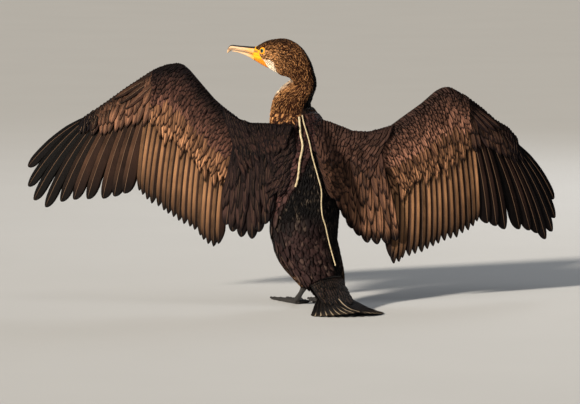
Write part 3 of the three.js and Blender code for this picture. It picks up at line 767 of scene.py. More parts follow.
@dataclass(frozen=True)
class Spine:
    """Loft of the torso, neck and head over stations.

    Each row is a centre, a lateral, dorsal and ventral radius, and a yaw in degrees. The first torso_rows of
    them belong to the torso.
    """

    rows: tuple = (
        (37.1, -18, 44.5, 34, 18, 20, 20), (23.0, 0, 69.4, 44, 31, 34, 20),
        (7.0, 20, 99.5, 53, 44, 47, 20), (-0.1, 38, 133.6, 60, 54, 56, 20),
        (-1.9, 55, 177.0, 65, 58, 62, 20), (-1.8, 70, 220.7, 66, 57, 62, 20),
        (-3.6, 86, 264.4, 62, 52, 58, 20), (-9.0, 99, 297.6, 54, 44, 50, 20),
        (-19.8, 109, 327.6, 45, 38, 42, 22), (-22.3, 110, 351.0, 38, 33, 37, 27),
        (-16.7, 108, 366.5, 32.5, 28, 32, 31), (-8.4, 106, 378.4, 27, 25, 28, 35),
        (-0.5, 104, 391.2, 21, 22, 23, 40), (-3.6, 103, 404.9, 20, 23, 23, 44),
        (-10.8, 104, 418.8, 20.5, 27, 27, 48), (-23.4, 108, 431.5, 20.5, 32, 32, 53),
        (-39.3, 116, 439.6, 19.5, 33, 32, 57), (-55.9, 126, 442.8, 18, 28, 28, 58),
        (-69.5, 134.5, 443.2, 15.5, 23.3, 23, 58), (-78.9, 140.5, 443.2, 12.5, 18, 18.3, 58),
        (-88.5, 146.5, 443.3, 9.5, 13, 13, 58),
    )
    torso_rows: int = 9

    @property
    def steps(self) -> int:
        """Stations less one."""
        return len(self.rows) - 1

    def frames(self, t: Array) -> tuple[Array, Array, Array, Array]:
        """Centre, radii, lateral and dorsal axis at places t from tail 0 to face 1."""
        rows = np.array(self.rows, float)
        values = catmull(rows, t)
        along = heading(rows, t)
        yaw = np.radians(values[..., 6])
        lateral = np.stack([np.cos(yaw), np.sin(yaw), np.zeros_like(yaw)], axis=-1)
        lateral = unit(lateral - along * np.sum(lateral * along, axis=-1, keepdims=True))
        return values[..., :3], values[..., 3:6], lateral, np.cross(lateral, along)

    def at(self, t: Array, phi: Array, height: Array | float = 0.0) -> Array:
        """Points on the loft, or at a height outside it.

        Args:
            t: place from tail 0 to face 1.
            phi: angle from the right side over the back.
            height: added to the radii.

        Returns:
            The points, with 3 as last axis.
        """
        centre, size, lateral, dorsal = self.frames(t)
        deep = np.where(np.sin(phi) > 0, size[..., 1], size[..., 2])
        side = (np.cos(phi) * (size[..., 0] + height))[..., None]
        high = (np.sin(phi) * (deep + height))[..., None]
        return centre + lateral * side + dorsal * high

    def on_back(self, station: Array, across: Array, lift: float) -> Array:
        """Points over the back at a station and a distance from its middle, lifted off along the normal."""
        centre, size, lateral, dorsal = self.frames(station / self.steps)
        wide, deep = size[..., 0], size[..., 1]
        height = deep * np.sqrt(1 - np.minimum(0.97, np.abs(across) / wide) ** 2)
        out = unit(lateral * (across / wide**2)[..., None] + dorsal * (height / deep**2)[..., None])
        return centre + lateral * across[..., None] + dorsal * height[..., None] + out * lift

    def torso(self, z: Array | float, column: int) -> Array:
        """A column of the torso's rows, by height."""
        rows = np.array(self.rows[: self.torso_rows], float)
        return np.interp(z, rows[:, 2], rows[:, column])

    def back_depth(self, x: Array, z: Array) -> Array:
        """Y of the back as a rounded gutter: centre less radius, plus the bulge away from the middle."""
        radius = self.torso(z, 4) / 0.9
        across = x - self.torso(z, 0)
        return self.torso(z, 1) - radius + across**2 / (2 * radius) + across**4 / (8 * radius**3)


@dataclass(frozen=True)
class Limb:
    """Round tube through points with a radius at each."""

    points: Sequence
    radii: tuple

    def at(self, t: Array, phi: Array, height: Array | float = 0.0) -> Array:
        """Points at places t from 0 to 1 along the tube, angles phi round it and a height outside it."""
        rows = np.column_stack([np.array(self.points, float), self.radii])
        values = catmull(rows, t)
        along = heading(rows, t)
        side = unit(np.cross(np.array([0.0, 1.0, 0.0]), along))
        high = np.cross(along, side)
        radius = (values[..., 3] + height)[..., None]
        return values[..., :3] + (side * np.cos(phi)[..., None] + high * np.sin(phi)[..., None]) * radius


Surface = Spine | Limb
SPINE = Spine()
HEADING = unit(np.array([-0.34, 0.94, 0.0]))
RIGHT = unit(np.array([0.94, 0.34, 0.0]))
UP = np.array([0.0, 0.0, 1.0])
FACE = np.array(SPINE.rows[-1][:3])
FACE_ALONG = unit(np.array([-0.848, 0.53, 0.0]))
FACE_SIDE = unit(np.array([0.53, 0.848, 0.0]))


@dataclass(frozen=True)
class Face:
    """Where the bare face, the eyes and the pale throat lie."""

    eye_station: float = 18.0
    eye_inset: float = 4.1
    eye_rise: float = 6.5

    def eye(self, side: Side) -> Array:
        """Centre of an eye."""
        centre, size, lateral, dorsal = SPINE.frames(np.array(self.eye_station / SPINE.steps))
        return centre + lateral * side.value * (size[0] - self.eye_inset) + dorsal * self.eye_rise

    def local(self, points: Array) -> tuple[Array, Array, Array]:
        """Distance ahead of the bill's base, height over its middle, and to the right of it."""
        rel = points - FACE
        return rel @ FACE_ALONG, rel[..., 2], rel @ FACE_SIDE

    def border(self, z: Array) -> Array:
        """Place along the face where bare skin ends, by height."""
        return -16.0 + 13.0 * ease(6.0, 11.0, z) - 12.0 * ease(0.0, -16.0, z) - 2.0 * ease(-16.0, -24.0, z)

    def marks(self, t: Array, phi: Array) -> dict[str, Array]:
        """Colour marks of the skin and the coat, from smooth steps over the station and the face's distances.

        Args:
            t, phi: places on the spine.

        Returns:
            The marks by name, from 0 to 1.
        """
        station = t * SPINE.steps
        s, z, _ = self.local(SPINE.at(t, phi))
        high, right = np.sin(phi), np.cos(phi)
        bare = s - self.border(z)
        eye_s, eye_z, _ = self.local(self.eye(Side.LEFT))
        ring = np.hypot(s - eye_s, z - eye_z)
        yellow = ease(15.2, 16.2, station) * np.maximum(ease(-0.7, 0.7, bare), ease(7.2, 6.4, ring))
        cheek = np.exp(-(((s + 34.0) / 16.0) ** 2) - ((z + 6.0) / 12.0) ** 2) * ease(15.0, 15.6, station)
        throat = ease(14.5, 15.5, station) * ease(-6.5, -12.0, z) * ease(-21.0, -13.0, bare)
        foreneck = window(station, 9.0, 10.2, 11.8, 12.8) * ease(0.0, -0.5, high) * ease(0.2, -0.4, right)
        white = np.maximum.reduce([throat, 0.55 * foreneck, 0.15 * cheek])
        lower = 0.9 * ease(0.2, -0.5, right)
        nape = window(station, 8.6, 9.4, 14.8, 16.4) * ease(0.50, 0.36, np.abs(right - 0.5)) * (high > 0)
        crown = ease(14.8, 16.5, station) * ease(0.55, 0.95, high) * 0.7
        # Thin dark band where the neck meets the mantle: partly black feathers, partly painted shade in the
        # join.
        band = window(station, 8.5, 8.7, 8.9, 9.2) * ease(-0.2, 0.4, high) * ease(-0.4, 0.1, right)
        wedge = 6.3 - np.where(right < 0.05, 2.8, 2.0) * np.abs(right - 0.05)
        mantle = ease(-0.25, 0.25, station - wedge) * ease(-0.1, 0.2, high) * ease(8.8, 8.5, station)
        flank = 0.42 * ease(3.6, 2.2, station) * ease(0.5, 0.1, right)
        tan = 0.30 + 0.25 * ease(14.0, 16.0, station) * ease(0.8, 0.2, high) + 0.95 * cheek
        tan = tan + 0.45 * ease(13.0, 10.5, station) * ease(0.7, -0.2, high) * ease(0.6, -0.1, right)
        return {
            "yellow": yellow,
            "lore": ease(3.2, 1.2, np.abs(z - 5.0)) * ease(-14.0, -9.0, s),
            "orange": ease(-4.0, -12.0, z) * 0.75 + 0.6 * ease(9.0, 6.0, ring),
            "white": white * (1 - yellow),
            "brown": ease(8.3 - lower, 9.0 - lower, station),
            "dark": np.maximum.reduce([nape, crown, band]) * (1 - yellow),
            "bronze": np.maximum(mantle, flank),
            "tan": np.clip(tan, 0, 1),
        }


BIRD_FACE = Face()


@dataclass(frozen=True)
class Skin:
    """The skin under the coat: one loft from the tail root to the face, and the thighs."""

    rows: int = 220
    ring: int = 128
    sink: float = 2.2
    head_from: float = 0.72
    leg_sink: float = 1.6

    def depth(self, t: Array, phi: Array) -> Array:
        """How far the skin lies inside the coat's surface.

        Args:
            t, phi: places on the spine.

        Returns:
            The depth, less on the head, and none on the bare face but for its furrows.
        """
        bare = BIRD_FACE.marks(t, phi)["yellow"]
        s, z, _ = BIRD_FACE.local(SPINE.at(t, phi))
        gape = -3.6 + 0.16 * (s + 10)
        groove = 1.3 * ease(1.4, 0.2, np.abs(z - gape)) * ease(-25.0, -20.0, s)
        lore = 1.0 * ease(6.0, 1.0, np.abs(z - 5.0)) * ease(-15.0, -10.0, s)
        pouch = 0.35 * np.sin(s * 1.1 + z * 0.9) * ease(-6.0, -9.0, z)
        under = self.sink - 1.1 * ease(12.0, 15.0, t * SPINE.steps)
        return under * (1 - bare) + (groove + lore + pouch) * bare

    def build(self, legs: Sequence[Limb]) -> None:
        """Makes the skin, with legs as the thighs' tubes. It stands for all the flesh nodes."""
        half = self.rows // 2
        body = np.linspace(0, self.head_from, half, endpoint=False)
        head = np.linspace(self.head_from, 1, half)
        t, phi = tube_grid(np.concatenate([body, head]), self.ring)
        marks = BIRD_FACE.marks(t, phi)
        soups = [capped(SPINE.at(t, phi, -self.depth(t, phi)), **marks)]
        t, phi = tube_grid(np.linspace(0, 1, 60), 48)
        bare = {key: np.zeros_like(t) for key in marks}
        soups += [capped(leg.at(t, phi, -self.leg_sink), **bare) for leg in legs]
        nodes = ("torso", "neck_lower", "neck_upper", "head", "thigh_left", "thigh_right")
        Soup.join(soups).piece("skin", SkinFinish().make(), "head", nodes)


@dataclass(frozen=True)
class Tuft:
    """A region of the coat.

    It has the stations from and to, a feather's length and half width, the space between rows and between
    feathers, heights at root and tip, the range of sin phi, the lean off the middle line, the disorder, and
    whether a whole feather, not only its root, has to lie where feathers may.
    """

    first: float
    last: float
    length: float
    half: float
    row: float
    gap: float
    rise: tuple = (-1.8, 0.35)
    dorsal: tuple = (-1.01, 1.01)
    lean: float = 0.0
    loose: float = 1.0
    whole: bool = False
    blade: Blade = Blade((0.0, 0.35, 0.75, 1.0), (0.6, 1.0, 0.75, 0.12), 3, 0.16, 0.25)


@dataclass
class Coat:
    """Small feathers laid in staggered rows over a surface, each pointing to the tail or the foot."""

    rng: np.random.Generator
    probes: int = 40
    probe_step: float = 1e-3
    slope_step: float = 2e-3

    def roots(self, surface: Surface, tuft: Tuft, steps: float) -> Array:
        """Even places in staggered rows.

        Args:
            surface, steps: what they lie on, and its number of stations.
            tuft: region and spacing.

        Returns:
            Rows of t, phi and the radius of the circle with the row's girth.
        """
        places = []
        t = tuft.first / steps
        probe = round_angles(self.probes)
        while t < tuft.last / steps:
            here = surface.at(np.full(self.probes, t), probe)
            ahead = surface.at(np.full(self.probes, min(t + self.probe_step, 1.0)), probe)
            speed = np.linalg.norm(ahead - here, axis=1).mean() / self.probe_step
            girth = np.linalg.norm(np.diff(np.vstack([here, here[:1]]), axis=0), axis=1).sum()
            count = max(6, int(girth / tuft.gap))
            phi = 2 * np.pi * (np.arange(count) + 0.5 * (len(places) % 2)) / count
            places.append(np.stack([np.full(count, t), phi, np.full(count, girth / (2 * np.pi))], axis=1))
            t += tuft.row / max(speed, 1.0)
        return np.concatenate(places)

    def grow(
        self, surface: Surface, tuft: Tuft, steps: float, towards: int,
        keep: Callable[[Array, Array], Array] | None, marks: Callable[[Array, Array], dict[str, Array]],
    ) -> Soup:
        """Feathers of one region, each bent to the surface by its local speed in t and phi.

        Args:
            surface, steps: what they lie on, and its number of stations.
            tuft: region and sizes.
            towards: -1 if feathers point to falling t, +1 to rising t.
            keep: tells from (t, phi) where feathers may lie.
            marks: values carried, from (t, phi).

        Returns:
            The soup.
        """
        t0, phi0, radius = self.roots(surface, tuft, steps).T
        jitter = self.rng.normal(size=(len(t0), 6)) * tuft.loose
        phi0 = phi0 + jitter[:, 0] * 0.18 * tuft.gap / radius
        d = self.slope_step
        ahead = surface.at(np.clip(t0 + d, 0, 1), phi0) - surface.at(np.clip(t0 - d, 0, 1), phi0)
        speed_t = np.linalg.norm(ahead, axis=1) / (2 * d)
        speed_phi = np.linalg.norm(surface.at(t0, phi0 + d) - surface.at(t0, phi0 - d), axis=1) / (2 * d)
        t0 = np.clip(t0 + jitter[:, 1] * 0.15 * tuft.row / speed_t, 0, 1)
        length = tuft.length * (1 + 0.12 * jitter[:, 2])
        half = tuft.half * (1 + 0.10 * jitter[:, 3])
        turn = 0.12 * jitter[:, 4] - tuft.lean * np.clip(2.0 * (np.cos(phi0) - 0.05), -1, 1)
        inside = (np.sin(phi0) >= tuft.dorsal[0]) & (np.sin(phi0) <= tuft.dorsal[1])
        if keep is not None:
            for share in (0.0, 0.5, 1.0)[: 3 if tuft.whole else 1]:
                inside &= keep(np.clip(t0 + towards * length * share / speed_t, 0, 1), phi0)
        t0, phi0, speed_t, speed_phi, length, half, turn, lift = (
            a[inside][:, None, None] for a in (t0, phi0, speed_t, speed_phi, length, half, turn, jitter[:, 5])
        )
        across, along, wide, face = (a[None] for a in tuft.blade.local())
        x = across * half * wide + np.sin(turn) * along * length
        t = np.clip(t0 + towards * along * length * np.cos(turn) / np.maximum(speed_t, 1.0), 0, 1)
        height = tuft.rise[0] + (tuft.rise[1] - tuft.rise[0]) * along**0.7 + 0.22 * lift * along
        height = height + face * tuft.blade.thick * (1 - 0.5 * along) / 2
        height = height + tuft.blade.camber * (1 - across**2) * half * wide
        points = surface.at(t, phi0 + x / np.maximum(speed_phi, 1.0), height)
        shape = points.shape[:-1]
        soup = Soup(points.reshape(-1, 3), *tuft.blade.faces(len(t0)))
        soup.values = {"tone": np.broadcast_to(self.rng.random(len(t0))[:, None, None], shape).ravel()}
        for key, value in marks(t0[:, 0, 0], phi0[:, 0, 0]).items():
            soup.values[key] = np.broadcast_to(value[:, None, None], shape).ravel()
        u, v = vane_map(across, along, shape)
        soup.vane = pairs(u, v)
        turns = (phi0 / (2 * np.pi)) % 1.0
        soup.bake = pairs(0.99 * turns + (u - 0.5) * PATCH + 0.005, t0 * 0.99 + v * PATCH)
        return outward(soup)


@dataclass
class Plumage:
    """The small feathers of head, neck, mantle, back, belly, flank and thighs."""

    rng: np.random.Generator
    finish: bpy.types.Material

    def marks(self, t: Array, phi: Array) -> dict[str, Array]:
        """Marks that the coat carries."""
        found = BIRD_FACE.marks(t, phi)
        return {k: found[k] for k in ("bronze", "brown", "tan", "dark", "white")}

    def clear_of_face(self, t: Array, phi: Array) -> Array:
        """True where feathers may lie."""
        return BIRD_FACE.marks(t, phi)["yellow"] < 0.3

    def on_mantle(self, t: Array, phi: Array) -> Array:
        """True above the wedge of the back."""
        return (self.marks(t, phi)["bronze"] > 0.4) | (t * SPINE.steps > 7.0)

    def off_mantle(self, t: Array, phi: Array) -> Array:
        """True in the wedge of the back and on the rump."""
        return (self.marks(t, phi)["bronze"] < 0.75) | (t * SPINE.steps < 3.0)

    def on_flank(self, t: Array, phi: Array) -> Array:
        """True on the left side of the rump and the lower flank."""
        return np.cos(phi) < 0.35 - 0.25 * np.maximum(t * SPINE.steps - 1.5, 0.0)

    def on_leg(self, t: Array, phi: Array) -> dict[str, Array]:
        """Marks of a thigh, which browns towards the hock."""
        none = np.zeros_like(t)
        brown = 0.35 * ease(0.3, 0.9, t)
        return {"bronze": none, "brown": brown, "tan": np.full_like(t, 0.3), "dark": none, "white": none}

    def dress(self, legs: Sequence[Limb]) -> None:
        """Builds every coat piece, with legs as the thighs' tubes."""
        coat = Coat(self.rng)
        scale = Blade(
            (0.0, 0.25, 0.5, 0.72, 0.87, 0.96, 1.0), (0.5, 0.9, 1.0, 0.93, 0.7, 0.38, 0.08), 5, 0.3, 0.08
        )
        regions = {
            "coat_head": [Tuft(14.0, 19.9, 5.6, 0.68, 1.6, 1.12, (-1.0, 0.35), whole=True)],
            "coat_neck": [Tuft(7.6, 14.2, 7.2, 0.95, 2.25, 1.62, (-1.6, 0.4))],
            "coat_mantle": [
                Tuft(7.3, 8.8, 10.5, 3.2, 3.9, 4.9, (-1.6, 0.9), (-0.3, 1.01), 0.2, 0.5, blade=scale),
                Tuft(6.1, 7.5, 14.0, 4.2, 5.4, 6.6, (-1.6, 1.0), (-0.3, 1.01), 0.25, 0.5, blade=scale),
                Tuft(3.0, 6.3, 20.0, 5.4, 7.2, 8.6, (-1.6, 1.2), (-0.2, 1.01), 0.3, 0.5, blade=scale),
            ],
            "coat_back": [Tuft(0.3, 6.5, 13.0, 1.8, 3.4, 2.7, (-1.9, 0.45), (0.0, 1.01))],
            "coat_belly": [Tuft(0.3, 8.6, 14.0, 2.2, 4.4, 3.3, (-1.9, 0.45), (-1.01, 0.05))],
            "coat_flank": [
                Tuft(0.2, 3.2, 21.0, 4.4, 6.4, 6.2, (-1.6, 1.8), (-0.85, 1.01), 0.1, 1.15, blade=scale),
                Tuft(0.7, 3.6, 31.0, 5.2, 14.0, 13.0, (-1.0, 4.6), (-0.8, 0.45), 0.1, 1.7, blade=scale),
            ],
        }
        rules = {
            "coat_head": self.clear_of_face,
            "coat_mantle": self.on_mantle,
            "coat_back": self.off_mantle,
            "coat_flank": self.on_flank,
        }
        for name, tufts in regions.items():
            soups = [coat.grow(SPINE, tuft, SPINE.steps, -1, rules.get(name), self.marks) for tuft in tufts]
            Soup.join(soups).piece(name, self.finish, "head" if name == "coat_head" else "body")
        thigh = Tuft(0.0, 0.95, 12.0, 1.8, 3.2, 2.7, (-1.4, 0.4))
        soups = [coat.grow(leg, thigh, 1.0, 1, None, self.on_leg) for leg in legs]
        Soup.join(soups).piece("coat_legs", self.finish, "leg")


# Wings


def sheet(out: Array, z: Array, start: float, sweep: float, cup: float) -> Array:
    """Depth of a spread wing: linear and square terms in the reach, a slope in z, and a square term below."""
    hang = np.maximum(0.0, 300.0 - z)
    return start + sweep * out + cup * out**2 + 0.3 * (z - 300.0) + 0.00045 * hang**2


ROUND_TIP = (0.97, 0.88, 0.74, 0.56, 0.34, 0.1)
WORN_TIP = (0.93, 0.76, 0.57, 0.40, 0.22, 0.06)


def flight_blade(
    columns: int, rows: int, root: float, thick: float = 0.5, camber: float = 0.05, tip: tuple = ROUND_TIP
) -> Blade:
    """Outline of a flight feather: a quill's end as wide as root, even sides, and a tip by its widths."""
    ends = (0.86, 0.91, 0.945, 0.97, 0.99, 1.0)
    at = np.concatenate([np.linspace(0, ends[0], rows - len(ends), endpoint=False), ends])
    wide = np.interp(at, [0, 0.1, 0.3, 0.6, *ends], [root, 0.62, 0.93, 1.0, *tip])
    return Blade(tuple(at), tuple(wide), columns, thick, camber)


def covert_blade(columns: int, rows: int) -> Blade:
    """Outline of a covert, with mesh columns and rows: broad in the middle, with a rounded point."""
    ends = (0.7, 0.82, 0.91, 0.97, 1.0)
    at = np.concatenate([np.linspace(0, ends[0], rows - len(ends), endpoint=False), ends])
    wide = np.interp(at, [0, 0.2, 0.5, *ends], [0.5, 0.85, 1.0, 0.86, 0.63, 0.38, 0.18, 0.04])
    return Blade(tuple(at), tuple(wide), columns, 0.32, 0.06)


@dataclass(frozen=True)
class WingPlan:
    """Lines of a wing as (x, z) rows, and the sheet that it lies on."""

    side: Side
    origin: float
    sheet: tuple
    lead: tuple
    hand_lead: tuple
    quills: tuple
    hand_quills: tuple
    secondary_tips: tuple
    primary_tips: tuple
    cover_tips: tuple
    hand_cover_tips: tuple
    alula: tuple
    shoulder: tuple
    mantle_edge: tuple
    flap_roots: tuple
    flap_tips: tuple
    blur: float = 6.0

    def depth(self, x: Array, z: Array) -> Array:
        """Y of the wing's sheet."""
        return sheet((x - self.origin) * self.side.value, z, *self.sheet)

    def place(self, x: Array, z: Array, height: Array) -> Array:
        """A point over the sheet, on the back side."""
        return np.stack(np.broadcast_arrays(x, self.depth(x, z) - height, z), axis=-1)

    def flap(self, x: Array, z: Array, height: Array) -> Array:
        """A point over the flap of scapulars: the smooth nearer one of the wing and the back."""
        off = 1.0 + 3.5 * ease(20.0, 52.0, np.abs(x - SPINE.torso(z, 0)))
        wing, back = self.depth(x, z) - 9.0, SPINE.back_depth(x, z) - off
        depth = -self.blur * np.logaddexp(-wing / self.blur, -back / self.blur)
        return np.stack(np.broadcast_arrays(x, depth - height, z), axis=-1)


LEFT_WING = WingPlan(
    Side.LEFT, -59.0, (52, 0.02, 0.00025),
    lead=((-30, 318), (-59, 324), (-97, 324.5), (-118, 331.5), (-138, 346), (-162, 366.4), (-183, 390),
          (-206, 416.5), (-217, 426), (-228, 429.8), (-250, 426.4), (-274, 416.5)),
    hand_lead=((-240, 428), (-250, 426.4), (-274, 416.5), (-320, 386.7), (-366, 353.7), (-404, 328)),
    quills=((-100, 262), (-147, 274.8), (-179, 299.2), (-212, 327), (-244, 355), (-277, 381)),
    hand_quills=((-262, 379), (-320, 361.3), (-372, 341.3), (-398, 326)),
    secondary_tips=((-152, 116), (-160, 107), (-170, 105.5), (-180, 117), (-191, 130), (-209, 142),
                    (-224, 149), (-242, 161), (-260, 172.6), (-285, 188.4), (-303, 208)),
    primary_tips=((-324.6, 198.6), (-342.6, 193), (-363, 189), (-390.8, 187.7), (-415.6, 186.4),
                  (-439, 182.4), (-467, 172), (-488, 184), (-498.4, 208.2), (-499, 243)),
    cover_tips=((-118, 197), (-152, 209.7), (-183, 232.4), (-220.5, 265.5), (-262, 302), (-280, 318)),
    hand_cover_tips=((-278, 322), (-303.6, 317.4), (-329, 309.2), (-356, 301.7), (-385, 300), (-410, 304)),
    alula=(((-262, 402), (-322, 347)), ((-270, 404), (-334, 356)), ((-278, 405), (-345, 364))),
    shoulder=((-24, 323), (-36, 322), (-59, 324), (-97, 324.5), (-118, 331.5), (-138, 346), (-147, 353)),
    mantle_edge=((-22, 326), (-19, 304), (-17, 280), (-21, 250), (-29, 218)),
    flap_roots=((-128, 290), (-104, 291), (-82, 296), (-64, 298), (-47, 298), (-32, 300)),
    flap_tips=((-146, 153), (-136, 135), (-116, 124), (-96, 121.5), (-76, 136.5), (-66, 160), (-62, 186),
               (-48, 226)),
)
RIGHT_WING = WingPlan(
    Side.RIGHT, 52.0, (96, 0.18, 0.0006),
    lead=((30, 306), (67, 308), (88, 304), (117, 304.7), (144, 311.6), (154, 314), (177, 330), (210, 352),
          (237, 374), (251, 380.4), (264, 380.4), (295, 362.4)),
    hand_lead=((262, 380), (272, 375), (295, 362.4), (322, 342), (346, 320), (370, 305.4), (390, 283)),
    quills=((120, 228), (171, 251), (203, 268), (234, 286.6), (265, 303.4), (301, 321.7)),
    hand_quills=((292, 322), (334, 299), (366, 281.6), (386, 268)),
    secondary_tips=((154, 84), (162, 66), (171, 72), (179, 80), (196, 84), (216, 89.5), (243, 101.5),
                    (276, 113), (301, 125), (317, 142)),
    primary_tips=((332.4, 134), (348.6, 128.2), (364.7, 121.6), (392.3, 120), (411.7, 116.8), (426, 111),
                  (441.4, 99), (454, 112), (459.3, 136.4), (457.5, 170.5)),
    cover_tips=((128, 176), (169.6, 182), (202.4, 202.4), (244.6, 224), (296.4, 248.8), (310, 256)),
    hand_cover_tips=((306, 262), (331, 266), (346.7, 261), (363.5, 253), (389.7, 239), (400, 246)),
    alula=(((288, 348), (340, 292)), ((295, 348), (350, 298)), ((302, 347), (360, 302))),
    shoulder=((14, 331), (30, 328), (45, 324), (63, 317), (86, 307.5), (117, 305), (144, 311.6), (160, 317)),
    mantle_edge=((9, 324), (15, 298), (21, 272), (28, 248), (38, 214)),
    flap_roots=((136, 268), (106, 276), (78, 280), (52, 288), (30, 292), (20, 296)),
    flap_tips=((172, 117), (159, 106), (138.6, 105), (114.8, 106), (98, 121), (86, 136), (75, 155), (67, 174),
               (54, 212)),
)

# Half thickness of the arm and of the hand by distance behind their front edges
ARM_AT, ARM_HALF = (0, 5, 15, 32, 56, 100), (1.5, 7, 9.2, 8.2, 5, 1.2)
HAND_AT, HAND_HALF = (0, 4, 12, 28, 52), (1.2, 4.6, 5.4, 3.6, 1.2)
FLAP_AT, FLAP_HALF = (0, 0.3, 0.8, 1.25), (1.0, 3.2, 3.0, 1.4)
PRIMARIES = 10
SECONDARIES = 17
FLIGHT_PATCH = (0.03, 0.05)


@dataclass(frozen=True)
class Band:
    """One row of coverts between two lines.

    Root and tip are shares of the way from the first line to the second, and low and high are heights there.
    """

    root: float
    tip: float
    count: int
    half: float
    low: float = 0.0
    high: float = 0.0


GREATER_BANDS = (
    Band(0.54, 0.93, 27, 4.4, 2.6, 4.0), Band(0.47, 0.84, 28, 4.4, 3.3, 4.7),
    Band(0.40, 0.74, 30, 4.4, 4.0, 5.4),
)
LESSER_BANDS = (
    Band(0.36, 0.64, 31, 4.4), Band(0.31, 0.56, 33, 4.2), Band(0.26, 0.49, 35, 4.0),
    Band(0.21, 0.42, 37, 3.8), Band(0.165, 0.355, 39, 3.6), Band(0.125, 0.295, 42, 3.4),
    Band(0.085, 0.24, 45, 3.2), Band(0.05, 0.185, 48, 3.0), Band(0.02, 0.13, 52, 2.8),
    Band(0.0, 0.08, 58, 2.5),
)
HAND_BANDS = (Band(0.2, 0.46, 16, 5.0), Band(0.1, 0.32, 20, 4.2), Band(0.0, 0.18, 26, 3.2))
UNDER_BANDS = (
    Band(0.46, 1.0, 16, 8.5), Band(0.3, 0.7, 20, 7.0), Band(0.16, 0.46, 24, 5.8), Band(0.03, 0.26, 30, 4.6),
)
SCAPULAR_BANDS = (
    Band(0.36, 0.92, 12, 7.4, 1.2, 2.0), Band(0.26, 0.80, 12, 7.4, 1.8, 2.7),
    Band(0.16, 0.67, 13, 7.0, 2.3, 3.3), Band(0.07, 0.54, 14, 6.6, 2.8, 3.9),
    Band(0.0, 0.42, 15, 6.0, 3.3, 4.4), Band(-0.05, 0.31, 17, 5.4, 3.8, 4.9),
    Band(-0.1, 0.20, 19, 4.8, 4.2, 5.4),
)
SHOULDER_BANDS = (
    Band(0.9, 2.0, 16, 6.2, 4.0), Band(0.66, 1.6, 18, 5.8, 4.0), Band(0.44, 1.2, 20, 5.2, 4.0),
    Band(0.24, 0.86, 23, 4.6, 4.0), Band(0.08, 0.56, 27, 4.0, 4.0), Band(-0.01, 0.3, 32, 3.4, 0.6),
)
# Rows over the mantle's edge: distance out from it, number, half width and height
MANTLE_ROWS = (
    (27.0, 15, 5.0, 3.6), (20.0, 16, 4.8, 3.5), (13.0, 17, 4.6, 3.2), (6.0, 18, 4.4, 2.6),
    (0.0, 19, 4.0, 1.8),
)


